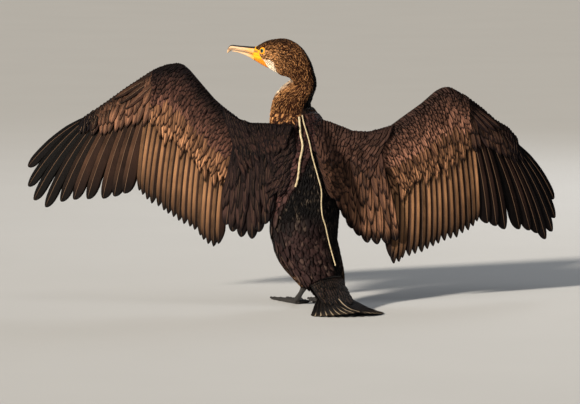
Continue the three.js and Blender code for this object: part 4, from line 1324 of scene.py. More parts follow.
@dataclass
class Wing:
    """One spread wing: arm and hand under rows of coverts, with flight feathers, alula and scapulars."""

    plan: WingPlan
    rng: np.random.Generator
    finishes: dict
    arm_from: float = 0.12
    thin: float = 0.55

    def feathers(self, name: str, finish: str, soups: Sequence[Soup]) -> None:
        """Joins rows into the side's piece, in the side's copy of the finish, with painted light and shade,
        where there is one.
        """
        label = self.plan.side.label
        material = self.finishes.get(f"{finish}_{label}", self.finishes[finish])
        Soup.join(soups).piece(f"{name}_{label}", material, "wing")

    def shares(self, count: int, first: float = 0.0, last: float = 1.0, loose: float = 0.1) -> Array:
        """Places along a row from first to last, loosened by a share of their step."""
        share = (np.arange(count) + 0.5 + self.rng.normal(size=count) * loose) / count
        return first + (last - first) * share

    def row(
        self, place: Place, blade: Blade, roots: Array, tips: Array, outer: Array | float,
        inner: Array | float, rise: tuple, tilt: float = 0.12, cell: float = 0.0,
        patch: tuple = (PATCH, PATCH), loose: float = 0.35, **more: Array | float,
    ) -> Soup:
        """One row of feathers with a little disorder in their tips and heights.

        Args:
            place, blade, roots, tips, outer, inner, rise, tilt, patch, more: as in plane_feathers.
            cell, loose: level of the row's patches on the OFBake map, and disorder of the tips.

        Returns:
            The soup.
        """
        n = len(roots)
        tips = tips + self.rng.normal(size=(n, 2)) * loose * 2.0
        lift = self.rng.normal(size=n) * 0.12
        return plane_feathers(
            place, blade, roots, tips, outer, inner, (rise[0], rise[1] + lift), tilt, self.plan.side.value,
            self.rng, bake=(0.01, 0.97, cell), patch=patch, **more
        )

    def slab(
        self, place: Place, lines: tuple, profile: tuple, span: float, swell: Callable[[Array], Array]
    ) -> Soup:
        """A closed lens between two lines.

        Args:
            place: puts (x, z, height) in space.
            lines: front and back line.
            profile: distances behind the front, and the half thickness at each.
            span: distance between the lines.
            swell: factor on the thickness, by share of the length.

        Returns:
            The soup.
        """
        share = np.linspace(0, 1, 40)
        q = np.linspace(0, profile[0][-1], 22)
        a, b = (along_line(line, share) for line in lines)
        x, z = np.moveaxis(a[:, None] + (b - a)[:, None] * (q / span)[None, :, None], -1, 0)
        h = np.maximum(np.interp(q, *profile)[None] * swell(share)[:, None] - 1.0, EDGE)
        h[:, 0] = h[:, -1] = EDGE
        return core(np.concatenate([place(x, z, h), place(x, z, -h)[:, ::-1]], axis=1))

    def arm(self) -> None:
        """The skinned arm and hand inside the coverts, and the flap under the scapulars."""
        plan = self.plan
        label = plan.side.label
        parts = [
            self.slab(plan.place, (plan.lead, plan.quills), (ARM_AT, ARM_HALF), 78.0, self.swell),
            self.slab(plan.place, (plan.hand_lead, plan.hand_quills), (HAND_AT, HAND_HALF), 42.0,
                      self.hand_swell),
            self.slab(plan.flap, (plan.shoulder, plan.flap_roots[::-1]), (FLAP_AT, FLAP_HALF), 1.0,
                      self.flap_swell),
        ]
        nodes = [f"wing_{label}_{part}" for part in ("shoulder", "forearm", "hand")]
        Soup.join(parts).piece(f"wing_arm_{label}", self.finishes["under"], "wing", nodes)

    def swell(self, u: Array) -> Array:
        """The arm sinks under the scapulars towards the shoulder."""
        return 1 - self.thin * ease(0.30, 0.12, u)

    def hand_swell(self, u: Array) -> Array:
        """The hand thins towards the tip."""
        return 1 - self.thin * u

    def flap_swell(self, u: Array) -> Array:
        """The flap thickens away from the mantle."""
        return 0.3 + 0.7 * ease(0.05, 0.35, u)

    def beyond(self, u: Array) -> Array:
        """Share of the arm's lines for a share of the arm beyond the shoulder."""
        return self.arm_from + (1 - self.arm_from) * u

    def arm_at(self, u: Array, k: float) -> Array:
        """Places on the arm at a share k from its front edge to the tips of its coverts."""
        front = along_line(self.plan.lead, self.beyond(u))
        return front + (along_line(self.plan.cover_tips, u) - front) * k

    def hand_at(self, u: Array, k: float) -> Array:
        """Places on the hand at a share k from its front edge to the tips of its coverts."""
        front = along_line(self.plan.hand_lead, u)
        return front + (along_line(self.plan.hand_cover_tips, u) - front) * k

    def flap_at(self, u: Array, k: float) -> Array:
        """Places on the flap at a share k from its roots to its tips."""
        root = along_line(self.plan.flap_roots, u)
        return root + (along_line(self.plan.flap_tips, u) - root) * k

    def arm_top(self, u: Array, k: float) -> Array:
        """Height of the arm under the coverts at a share k."""
        reach = np.linalg.norm(self.arm_at(u, 1) - self.arm_at(u, 0), axis=1) * k
        return np.interp(reach, ARM_AT, ARM_HALF) * self.swell(self.beyond(u))

    def hand_top(self, u: Array, k: float) -> Array:
        """Height of the hand under the coverts at a share k."""
        reach = np.linalg.norm(self.hand_at(u, 1) - self.hand_at(u, 0), axis=1) * k
        return np.interp(reach, HAND_AT, HAND_HALF) * self.hand_swell(u)

    def flight(self) -> None:
        """Primaries and secondaries, true in number, place and length."""
        plan = self.plan
        u = (np.arange(PRIMARIES) + 0.5) / PRIMARIES
        quills, lead = along_line(plan.hand_quills, u * 0.96), along_line(plan.hand_lead, 0.1 + 0.88 * u)
        slim = 1 - 0.25 * u
        self.feathers("primaries", "primary", [self.row(
            plan.place, flight_blade(9, 26, 0.35), quills + (lead - quills) * 0.3,
            np.array(plan.primary_tips, float), 8 * slim, (19.5 - 3.5 * u) * slim, (0.0, 0.0), 0.16, 0.0,
            FLIGHT_PATCH, 0.0, bend=0.03 + 0.03 * u, mark=ease(0.36, 0.72, u),
        )])
        u = (np.arange(SECONDARIES) + 0.5) / SECONDARIES
        inner = 0.18 + 0.82 * u
        quills, lead = along_line(plan.quills, inner), along_line(plan.lead, self.beyond(inner))
        self.feathers("secondaries", "secondary", [self.row(
            plan.place, flight_blade(9, 26, 0.35, tip=WORN_TIP), quills + (lead - quills) * 0.2,
            along_line(plan.secondary_tips, u), 6.5, 13.0, (0.0, 0.0), 0.16, 0.06, FLIGHT_PATCH, 0.4,
            bend=0.02,
        )])

    def greater(self) -> None:
        """Greater coverts over the quills of the secondaries, and the rows that cover their roots."""
        plan, blade = self.plan, covert_blade(7, 14)
        u = self.shares(26)
        quills = along_line(plan.quills, self.beyond(u))
        rows = [self.row(
            plan.place, blade, quills, self.arm_at(u, 1), 4.8, 6.4, (1.9, 3.4), cell=0.12, loose=2.2
        )]
        for number, band in enumerate(GREATER_BANDS):
            u = self.shares(band.count, 0.02, 0.97, 0.2)
            rows.append(self.row(
                plan.place, blade, self.arm_at(u, band.root), self.arm_at(u + 0.02, band.tip), band.half, 5.6,
                (band.low, band.high), cell=0.13 + 0.01 * number, mark=0.1 + 0.2 * number, loose=1.7,
            ))
        self.feathers("greater_coverts", "greater", rows)

    def lesser(self) -> None:
        """Lesser coverts, in rows that rise over one another up to the front edge."""
        rows = []
        for number, band in enumerate(LESSER_BANDS):
            u = self.shares(band.count, -0.02, 0.985, 0.2)
            low, high = (np.maximum(self.arm_top(u, k), 5.2 - 4.0 * k) for k in (band.root, band.tip))
            # mark darkens the rows near the front edge to the finish's second colour, which on the left wing
            # is painted shade.
            rows.append(self.row(
                self.plan.place, covert_blade(5, 10), self.arm_at(u, band.root),
                self.arm_at(u + 0.035, band.tip), band.half, band.half * 1.15,
                (low - 0.4, high + 1.8 + 0.09 * number), 0.10, 0.16 + number * 0.012,
                mark=np.clip(1.25 - band.tip * 2.1, 0, 1), loose=0.9,
            ))
        self.feathers("lesser_coverts", "lesser", rows)

    def hand(self) -> None:
        """Coverts of the hand, darker towards its tip, and the alula."""
        plan, large, small = self.plan, covert_blade(7, 14), covert_blade(5, 10)
        u = self.shares(15, 0.0, 1.0, 0.08)
        lead, quills = along_line(plan.hand_lead, u), along_line(plan.hand_quills, u)
        rows = [self.row(
            plan.place, large, lead + (quills - lead) * 0.55, self.hand_at(u, 1), 6.0, 8.0, (3.4, 3.5), 0.07,
            0.32, mark=ease(0.5, 0.9, u), loose=1.2,
        )]
        u = self.shares(19, 0.0, 0.97, 0.1)
        rows.append(self.row(
            plan.place, large, self.hand_at(u, 0.32), self.hand_at(u, 0.74), 4.2, 5.6, (4.4, 5.2), 0.06,
            0.33, mark=np.maximum(0.1, ease(0.55, 0.9, u)), loose=1.6,
        ))
        for number, band in enumerate(HAND_BANDS):
            u = self.shares(band.count, 0.0, 0.97, 0.12)
            high = np.maximum(self.hand_top(u, band.tip), 3.0) + 1.2
            rows.append(self.row(
                plan.place, small, self.hand_at(u, band.root), self.hand_at(u, band.tip), band.half,
                band.half * 1.15, (self.hand_top(u, band.root) - 0.3, high), 0.1, 0.34 + number * 0.02,
                mark=np.maximum(np.clip(1.1 - band.tip * 1.6, 0, 1), ease(0.55, 0.9, u)),
            ))
        alula = np.array(plan.alula, float)
        rows.append(self.row(
            plan.place, large, alula[:, 0], alula[:, 1], 5.0, 7.0, (3.2, 7.4), cell=0.42, mark=0.6
        ))
        self.feathers("hand_coverts", "hand", rows)

    def under(self) -> None:
        """Coverts under the arm and the hand."""
        plan, blade = self.plan, covert_blade(5, 10)
        rows = []
        for number, band in enumerate(UNDER_BANDS):
            u = self.shares(band.count, 0.0, 0.98)
            low = -self.arm_top(u, band.root) + 0.4
            high = -np.maximum(self.arm_top(u, band.tip), 2.4) - 0.9
            rows.append(self.row(
                plan.place, blade, self.arm_at(u, band.root), self.arm_at(u, band.tip), band.half, band.half,
                (low, high), 0.08, 0.46 + number * 0.02, mark=0.3,
            ))
            u = self.shares(band.count - 4, 0.0, 0.95)
            low = -self.hand_top(u, band.root) + 0.3
            high = -np.maximum(self.hand_top(u, band.tip), 2.0) - 0.8
            rows.append(self.row(
                plan.place, blade, self.hand_at(u, band.root), self.hand_at(u, band.tip), band.half * 0.8,
                band.half * 0.8, (low, high), 0.08, 0.56 + number * 0.02, mark=0.3,
            ))
        self.feathers("under_coverts", "under", rows)

    def scapulars(self) -> None:
        """The flap of long feathers from the shoulder, over the wing and the back."""
        plan = self.plan
        u = (np.arange(10) + 0.5) / 10
        rows = [self.row(
            plan.flap, flight_blade(7, 17, 0.5, 0.45, 0.06), self.flap_at(u, 0), self.flap_at(u, 1), 10.5,
            12.0, (0.0, 0.0), 0.11, 0.66,
        )]
        for number, band in enumerate(SCAPULAR_BANDS):
            u = self.shares(band.count, loose=0.25)
            flat = 1.0 - 0.7 * ease(0.70, 1.0, u)
            # mark darkens the rows near the shoulder to the finish's second colour, which on the left wing is
            # painted shadow at the flap's root.
            rows.append(self.row(
                plan.flap, covert_blade(7, 15), self.flap_at(u, band.root), self.flap_at(u, band.tip),
                band.half, band.half * 1.1, (band.low * flat, band.high * flat), 0.09, 0.68 + number * 0.015,
                mark=0.16 * number, loose=2.4,
            ))
        self.feathers("scapulars", "scapular", rows)

    def shoulder(self) -> None:
        """Short feathers from the upper edge of the flap down to the roots of the scapulars."""
        rows = []
        for number, band in enumerate(SHOULDER_BANDS):
            u = self.shares(band.count, 0.0, 1.04, 0.12)
            top = along_line(self.plan.shoulder, 1 - u)
            down = self.flap_at(u, 0) - top
            # Mark near 1 gives them the finish's dark second colour: on the left wing, painted shadow at the
            # flap's root.
            rows.append(self.row(
                self.plan.flap, covert_blade(5, 10), top + down * band.root, top + down * band.tip, band.half,
                band.half, (band.low, 5.4 + 0.05 * number), 0.08, 0.78 + number * 0.02,
                mark=0.8 + 0.04 * number, loose=1.0,
            ))
        self.feathers("shoulder_coverts", "lesser", rows)

    def mantle(self) -> None:
        """Feathers that lie from the mantle's edge out over the flap."""
        way = self.plan.side.value
        rows = []
        for number, (out, count, half, lift) in enumerate(MANTLE_ROWS):
            u = self.shares(count, 0.0, 1.0, 0.25)
            roots = along_line(self.plan.mantle_edge, u) + np.array([out * way, 0.0])
            tips = roots + np.stack([(9.0 + 6.0 * u) * way, -17.0 - 6.0 * u], axis=1)
            # mark 0.5 mixes in the finish's dark second colour, which on the left wing is painted shade.
            rows.append(self.row(
                self.plan.flap, covert_blade(5, 10), roots, tips, half, half * 1.1, (lift - 2.6, lift + 1.2),
                0.06, 0.90 + number * 0.015, mark=0.5, loose=1.2,
            ))
        self.feathers("mantle_edge", "scapular", rows)

    def build(self) -> None:
        """Makes every piece of the wing, from the arm out to the shoulder."""
        for make in (
            self.arm, self.flight, self.greater, self.lesser, self.hand, self.under, self.scapulars,
            self.shoulder, self.mantle,
        ):
            make()


# Tail, legs and feet


@dataclass
class Tail:
    """Fourteen stiff feathers fanned on the ground, with a rump and coverts over their roots.

    Heights are rows of run and level of the fan's sheet. Rump rows are run, half width, half thickness and
    level over the sheet. Cover rows are the run of root and tip, number, spread and half width.
    """

    rng: np.random.Generator
    finishes: dict
    root: tuple = (37.1, -18.0, 0.0)
    length: float = 155.0
    feathers: int = 14
    heights: tuple = ((0, 44.5), (25, 29), (50, 15.5), (75, 6.4), (95, 2.2), (115, 0.25), (170, 0.25))
    rump: tuple = (
        (0, 33, 17.0, 0.0), (12, 31, 14.5, -1.5), (28, 30, 10.5, 0.5), (46, 29, 6.5, 3), (66, 26, 2.6, 4.4),
    )
    covers: tuple = (
        (34, 74, 9, 25, 6.5), (25, 60, 11, 26, 5.8), (16, 47, 12, 27, 5.2), (8, 35, 14, 28, 4.8),
        (0, 25, 16, 29, 4.4), (-6, 16, 18, 30, 4.0),
    )

    def on(self, run: Array, across: Array, height: Array) -> Array:
        """A point behind the tail root, across from its middle, over the fan's sheet."""
        level = np.interp(run, *np.array(self.heights).T) + height
        root = np.array(self.root)
        return root - HEADING * run[..., None] + RIGHT * across[..., None] + UP * level[..., None]

    def over_rump(self, sign: int) -> Place:
        """Place on the rump's upper (+1) or lower (-1) face."""
        at, *columns = np.array(self.rump).T

        def place(run: Array, across: Array, height: Array) -> Array:
            """A point at a height off the rump's ellipse."""
            half, thick, level = (np.interp(run, at, column) for column in columns)
            share = np.minimum(np.abs(across) / half, 0.96)
            return self.on(run, across, level + sign * (thick * np.sqrt(1 - share**2) + height))

        return place

    def core(self) -> None:
        """The rump inside its feathers."""
        at, *columns = np.array(self.rump).T
        t, phi = tube_grid(np.linspace(0, 1, 30), 40)
        run = t * at[-1]
        half, thick, level = (np.interp(run, at, column) for column in columns)
        rings = self.on(run, np.cos(phi) * (half - 1.5), level + np.sin(phi) * (thick - 1.0))
        rings[..., 2] = np.maximum(rings[..., 2], FLOOR_GAP)
        core(rings).piece("rump", self.finishes["black"], "tail", ("tail",))

    def fan(self) -> None:
        """The tail feathers, each over its outer neighbour, the middle pair on top."""
        middle = (self.feathers - 1) / 2
        i = np.arange(self.feathers)
        off = (i - middle) / middle
        layer = (middle - np.abs(i - middle)) * 1.25 + np.where(i == middle + 0.5, 1.25, 0.0)
        length = self.length - 38 * off**2
        roots = np.stack([np.full(self.feathers, 34.0), off * 22], axis=1)
        tips = np.stack([length, off * (22 + 0.36 * length)], axis=1)
        plane_feathers(
            self.on, flight_blade(9, 24, 0.4, 0.7, 0.06), roots, tips, 9.0, 9.0, (layer + 0.4, layer + 0.4),
            0.0, 1, self.rng, bake=(0.01, 0.97, 0.0), patch=(0.04, 0.06),
        ).piece("tail_feathers", self.finishes["tail"], "tail")

    def coverts(self) -> None:
        """Rows of coverts over and under the rump."""
        rows = []
        for number, (run0, run1, count, spread, half) in enumerate(self.covers):
            across = np.linspace(-1, 1, count) * spread
            for sign, rise, cell in ((1, (0.2, 1.1 + 0.35 * number), 0.1), (-1, (-0.6, 0.1), 0.3)):
                roots = np.stack([np.full(count, float(run0)), across * 0.92], axis=1)
                tips = np.stack([run1 + self.rng.normal(size=count) * 4, across], axis=1)
                rows.append(plane_feathers(
                    self.over_rump(sign), flight_blade(5, 10, 0.6, 0.35, 0.12), roots, tips, half, half, rise,
                    0.0, 1, self.rng, bake=(0.01, 0.97, cell + number * 0.02),
                ))
        covers = Soup.join(rows)
        covers.points[:, 2] = np.maximum(covers.points[:, 2], FLOOR_GAP)
        covers.piece("tail_coverts", self.finishes["black"], "tail")

    def build(self) -> None:
        """Makes the rump, the fan and its coverts."""
        self.core()
        self.fan()
        self.coverts()


@dataclass(frozen=True)
class Leg:
    """One leg: feathered thigh, scaled shank, webbed foot with claws.

    Places are the left leg's. The right leg mirrors them at a distance to the right of the origin: mirror
    below the thigh's joint with the body, and the torso's own middle above it. Each toe is an angle to the
    left of ahead and a length, and fan is the sum of a left toe's angle and its mirror's.
    """

    side: Side
    hock: tuple = (-2.0, -16.0, 36.0)
    ankle: tuple = (-8.0, 11.0, 22.5)
    toe_root: tuple = (-14.0, 38.0, 9.0)
    mirror: float = 28.4
    body_from: float = 44.5
    thigh: tuple = (
        (-38, 41, 150), (-38, 32, 128), (-34, 24, 108), (-26, 13, 84), (-14, -1.5, 60), (-4, -12.5, 42),
    )
    radii: tuple = (12, 20, 23, 20, 12.5, 6.5, 6.0)
    toes: tuple = ((32, 92), (14, 80), (-8, 60), (-48, 32))
    fan: float = 28.0

    def set(self, point: Sequence[float]) -> Array:
        """The point, mirrored for the right leg."""
        point = np.array(point, float)
        if self.side is Side.LEFT:
            return point
        middle = self.mirror
        if point[2] > self.body_from:
            middle = RIGHT[0] * SPINE.torso(point[2], 0) + RIGHT[1] * SPINE.torso(point[2], 1)
        return point + RIGHT * 2 * (middle - RIGHT @ point)

    def upper(self) -> Limb:
        """The thigh's tube, which ends at the hock."""
        return Limb([self.set(point) for point in (*self.thigh, self.hock)], self.radii)

    def shank(self, finish: bpy.types.Material) -> None:
        """The tarsus, with raised scutes down its front."""
        limb = Limb([self.set(point) for point in (self.hock, self.ankle, self.toe_root)], (5.4, 4.2, 5.5))
        t, phi = tube_grid(np.linspace(0, 1, 90), 32)
        scute = 0.28 * np.abs(np.sin(t * np.pi * 13)) ** 0.5 + 0.12 * np.sin(phi * 5 + t * 40)
        label = self.side.label
        plain(limb.at(t, phi, scute - 0.15)).piece(f"shank_{label}", finish, "foot", (f"tarsus_{label}",))

    def toe(self, root: Array, out: Array, length: float) -> Soup:
        """A toe with knobs at its joints and flat where it meets the floor.

        Args:
            root: the foot's middle on the floor.
            out, length: its direction and its reach with the claw.

        Returns:
            The soup.
        """
        points = (root + UP * 4.9, root + out * length * 0.5 + UP * 3.6, root + out * (length - 5) + UP * 2.5)
        t, phi = tube_grid(np.linspace(0, 1, 80), 24)
        joints = 0.7 * sum(np.exp(-(((t - k) / 0.035) ** 2)) for k in (0.33, 0.62, 0.88))
        ridge = 0.16 * np.abs(np.sin(t * length * 0.9)) ** 0.5
        rings = Limb(points, (5.2, 3.9, 2.2)).at(t, phi, joints + ridge)
        rings[..., 2] = np.maximum(rings[..., 2], 0.0)
        return plain(rings)

    def claw(self, tip: Array, out: Array) -> Soup:
        """A hooked claw at the tip of a toe that points out."""
        points = (tip - out * 1.5, tip + out * 3.0 + UP * 0.9, tip + out * 6.0 - UP * 1.4)
        rings = Limb(points, (2.0, 1.6, 0.25)).at(*tube_grid(np.linspace(0, 1, 24), 16))
        rings[..., 2] = np.maximum(rings[..., 2], 0.0)
        return plain(rings)

    def web(self, root: Array, near: tuple[Array, float], far: tuple[Array, float]) -> Soup:
        """A folded web between two toes, its free edge cut in.

        Args:
            root: the foot's middle on the floor.
            near, far: direction and reach of each toe.

        Returns:
            The soup, a thin closed fan.
        """
        k, v = np.meshgrid(np.linspace(0, 1, 20), np.linspace(0.02, 1, 26), indexing="ij")
        reach = (near[1] + (far[1] - near[1]) * k) * (1 - 0.16 * np.sin(np.pi * k)) * v
        line = unit(near[0] * (1 - k)[..., None] + far[0] * k[..., None])
        flat = root + line * reach[..., None]
        fold = 0.25 * np.sin(k * np.pi * 7) * v * np.sin(np.pi * k)
        top, low = (flat + UP * (level + fold)[..., None] for level in (1.55, 0.75))
        return plain(np.concatenate([top, low[:, ::-1]], axis=1))

    def foot(self, finish: bpy.types.Material, horn: bpy.types.Material) -> None:
        """Four toes joined by webs in the skin's finish, each with a claw of horn."""
        root = self.set(self.toe_root) * [1, 1, 0]
        toes, claws, ends = [], [], []
        for angle, length in self.toes:
            left = math.radians(angle if self.side is Side.LEFT else self.fan - angle)
            out = np.array([-math.sin(left), math.cos(left), 0.0])
            toes.append(self.toe(root, out, length))
            claws.append(self.claw(root + out * (length - 5) + UP * 2.5, out))
            ends.append((out, length - 6.0))
        webs = [self.web(root, near, far) for near, far in zip(ends, ends[1:])]
        label = self.side.label
        Soup.join(toes + webs).piece(f"foot_skin_{label}", finish, "foot", (f"foot_{label}",))
        Soup.join(claws).piece(f"claws_{label}", horn, "foot")


# Head details


@dataclass(frozen=True)
class Bill:
    """Upper bill with a hooked nail, and lower bill: rows of run, top, bottom and half width."""

    upper: tuple = (
        (0.3, 12.8, -1.9, 9), (10, 12.6, 0.6, 7.6), (20, 13, 2.4, 6.4), (32, 13.3, 3.8, 5.2),
        (44, 14, 5, 4.6), (51, 14.2, 4.6, 4.2), (56, 12.3, 2.2, 3.4), (60, 7.5, -0.5, 2.2),
        (61.5, 1.5, -1.3, 1.2),
    )
    lower: tuple = (
        (0.3, -2.5, -13, 8.5), (10, 0, -8.2, 6.6), (20, 1.8, -4.4, 5.4), (32, 3.2, -0.6, 4.2),
        (44, 4.4, 1.4, 3.2), (50.5, 3.9, 2.3, 2),
    )
    groove: float = 0.55
    root_inside: float = 2.0

    def half(self, rows: tuple, groove: float) -> Soup:
        """One bill half as a loft of rounded boxes.

        Args:
            rows: its run, top, bottom and half width.
            groove: depth of a furrow along each side above its middle, 0 on the lower half.

        Returns:
            The soup, with ridge and base.
        """
        share, phi = tube_grid(np.linspace(0, 1, 110), 48)
        run, top, bottom, half = np.moveaxis(catmull(np.array(rows, float), share), -1, 0)
        run = run - np.where(share == 0, self.root_inside, 0.0)
        sink = groove * np.exp(-(((np.sin(phi) - 0.35) / 0.14) ** 2)) * ease(1.0, 0.8, share)
        side = np.sign(np.cos(phi)) * np.abs(np.cos(phi)) ** 0.85 * (half - sink)
        height = (top + bottom) / 2 + np.sin(phi) * (top - bottom) / 2
        points = FACE + FACE_ALONG * run[..., None] + FACE_SIDE * side[..., None] + UP * height[..., None]
        ridge = ease(0.35, 0.75, np.sin(phi)) * (1.0 if groove else 0.0) * ease(1.0, 0.82, share)
        base = ease(0.34, 0.02, share)
        return capped(points, ridge=ridge, base=base)

    def build(self) -> None:
        """Makes both halves."""
        finish = BillFinish().make()
        self.half(self.upper, self.groove).piece("bill_top", finish, "bill", ("bill_upper",))
        self.half(self.lower, 0.0).piece("bill_low", finish, "bill", ("bill_lower",))


@dataclass(frozen=True)
class Eyes:
    """Both eyes with the beaded ring of bare skin round each."""

    radius: float = 5.4
    ring_at: float = 3.3
    ring_thick: float = 0.75
    beads: int = 26

    def axes(self, side: Side) -> tuple[Array, Array, Array]:
        """Direction in which the eye looks, and two axes across it."""
        gaze = unit(FACE_SIDE * side.value + FACE_ALONG * 0.10)
        flat = unit(np.cross(UP, gaze))
        return gaze, flat, np.cross(gaze, flat)

    def ball(self, side: Side) -> Soup:
        """A ball with a bulged cornea, as rings round the gaze."""
        gaze, e1, e2 = self.axes(side)
        a, b = tube_grid(np.linspace(0.02, np.pi - 0.02, 60), 64)
        bulge = self.radius + 0.35 * ease(0.75, 0.3, a)
        turn = e1 * np.cos(b)[..., None] + e2 * np.sin(b)[..., None]
        points = (gaze * np.cos(a)[..., None] + turn * np.sin(a)[..., None]) * bulge[..., None]
        return capped(BIRD_FACE.eye(side) + points, gaze=a)

    def ring(self, side: Side) -> Soup:
        """A beaded torus round the eye, with the skin's marks."""
        gaze, e1, e2 = self.axes(side)
        a, b = tube_grid(round_angles(96), 20)
        turn = e1 * np.cos(a)[..., None] + e2 * np.sin(a)[..., None]
        thick = self.ring_thick * (1 + 0.12 * np.sin(a * self.beads) * np.sin(b))
        points = BIRD_FACE.eye(side) + gaze * (self.ring_at + thick * np.sin(b))[..., None]
        points = points + turn * (self.radius * 0.84 + thick * np.cos(b) * 1.1)[..., None]
        n, m = a.shape
        quads = grid_faces(n + 1, m) % (n * m)
        levels = {"yellow": 1.0, "orange": 0.35, "white": 0.0, "brown": 0.0, "lore": 0.0}
        values = {key: np.full(n * m, level) for key, level in levels.items()}
        return outward(Soup(points.reshape(-1, 3), quads, np.zeros((0, 3), int), values))

    def build(self) -> None:
        """Makes the balls and their rings."""
        finish, ring_finish = EyeFinish().make(), SkinFinish("eye_ring").make()
        for side in Side:
            self.ball(side).piece(f"eyeball_{side.label}", finish, "eye", (f"eye_{side.label}",))
        Soup.join([self.ring(side) for side in Side]).piece("eye_rings", ring_finish, "head")


@dataclass(frozen=True)
class Twine:
    """Loose twine that hangs down the back: rows of station and distance across, and its diameter."""

    name: str
    diameter: float
    rows: tuple
    samples: int = 300
    ring: int = 18
    clear: float = 1.0

    def line(self) -> Array:
        """Even points along its middle, clear of the feathers of the back."""
        station, across = np.array(self.rows, float).T
        knots = SPINE.on_back(station, across, self.diameter / 2 + self.clear)
        return along_line(catmull(knots, np.linspace(0, 1, 2000)), np.linspace(0, 1, self.samples))

    def build(self, finish: bpy.types.Material) -> None:
        """A three-stranded tube, round in section with shallow furrows that turn along it."""
        line = self.line()
        along = unit(np.gradient(line, axis=0))
        side = unit(np.cross(np.broadcast_to(np.array([0.0, 1.0, 0.0]), along.shape), along))
        high = np.cross(along, side)
        reach = np.concatenate([[0], np.cumsum(np.linalg.norm(np.diff(line, axis=0), axis=1))])
        phi = round_angles(self.ring)[None]
        twist = 2 * np.pi * reach[:, None] / (self.diameter * 2.6)
        radius = self.diameter / 2 * (0.93 + 0.07 * np.cos(3 * phi - twist))
        round_it = side[:, None] * np.cos(phi)[..., None] + high[:, None] * np.sin(phi)[..., None]
        soup = plain(line[:, None] + round_it * radius[..., None])
        v = np.concatenate([np.repeat(reach / 1000, self.ring), [0, reach[-1] / 1000]])
        u = np.concatenate([np.tile(phi[0] / (2 * np.pi), self.samples), [0.5, 0.5]])
        soup.vane = pairs(u, v)
        piece = soup.piece(self.name + "_cord", finish, "twine", (self.name,))
        path = World.place(line)
        tuple(path[0])
        [tuple(p) for p in path]


# Studio


@dataclass(frozen=True)
class Studio:
    """Camera, a wide flat floor, a low warm key, and soft lamps."""

    tilt: float = math.radians(5.5)
    distance: float = 8000.0
    per_pixel: float = 1.8
    pixels: int = 580
    sensor: float = 36.0
    target: tuple = (-27.0, 80.0, 180.0)
    aim: tuple = (0.0, 0.0, 0.25)
    floor_reach: float = 60.0

    def camera(self) -> None:
        """Looks along +Y and a little down, with the target in the middle of the picture."""
        look = np.array([0.0, math.cos(self.tilt), -math.sin(self.tilt)])
        data = bpy.data.cameras.new("camera")
        data.lens = self.sensor * self.distance / (self.pixels * self.per_pixel)
        data.sensor_width = self.sensor
        data.clip_end = 60.0
        camera = bpy.data.objects.new("camera", data)
        camera.location = World.place(np.array(self.target) - look * self.distance)
        camera.rotation_euler = (math.pi / 2 - self.tilt, 0, 0)
        bpy.context.scene.collection.objects.link(camera)
        bpy.context.scene.camera = camera

    def lamp(
        self, name: str, kind: str, where: tuple, at: tuple, power: float, colour: tuple
    ) -> bpy.types.Light:
        """A light at a place, turned towards a point. A sun's place gives only its direction."""
        data = bpy.data.lights.new(name, kind)
        data.energy = power
        data.color = colour
        lamp = bpy.data.objects.new(name, data)
        lamp.location = where
        x, y, z = np.array(at) - np.array(where)
        lamp.rotation_euler = (math.pi / 2 + math.atan2(z, math.hypot(x, y)), 0, -math.atan2(x, y))
        bpy.context.scene.collection.objects.link(lamp)
        return data

    def floor(self) -> None:
        """One large square at the level of the soles."""
        mesh = bpy.data.meshes.new("floor")
        reach = self.floor_reach
        corners = [(-reach, -reach, 0), (reach, -reach, 0), (reach, reach, 0), (-reach, reach, 0)]
        mesh.from_pydata(corners, [], [(0, 1, 2, 3)])
        mesh.materials.append(FloorFinish().make())
        floor = bpy.data.objects.new("floor", mesh)
        bpy.context.scene.collection.objects.link(floor)

    def build(self) -> None:
        """Makes the floor, the lights and a pale sky."""
        self.floor()
        sun = self.lamp("key", "SUN", (-2.6, -2.2, 1.3), (0.0, 0.0, 0.0), 6.3, (1.0, 0.90, 0.76))
        sun.angle = math.radians(5.0)
        for name, where, size, power, colour in (
            ("fill", (2.6, -2.6, 1.3), 2.4, 7.0, (0.80, 0.90, 1.0)),
            ("top", (0.2, -0.4, 2.8), 1.8, 10.0, (1.0, 0.98, 0.95)),
            ("rim", (1.2, 2.6, 1.9), 1.2, 20.0, (0.95, 0.97, 1.0)),
        ):
            self.lamp(name, "AREA", where, self.aim, power, colour).size = size
        world = bpy.data.worlds.new("world")
        world.use_nodes = True
        sky = world.node_tree.nodes["Background"]
        sky.inputs[0].default_value = (0.62, 0.68, 0.74, 1.0)
        sky.inputs[1].default_value = 0.09
        bpy.context.scene.world = world
        bpy.context.scene.view_settings.view_transform = "Standard"


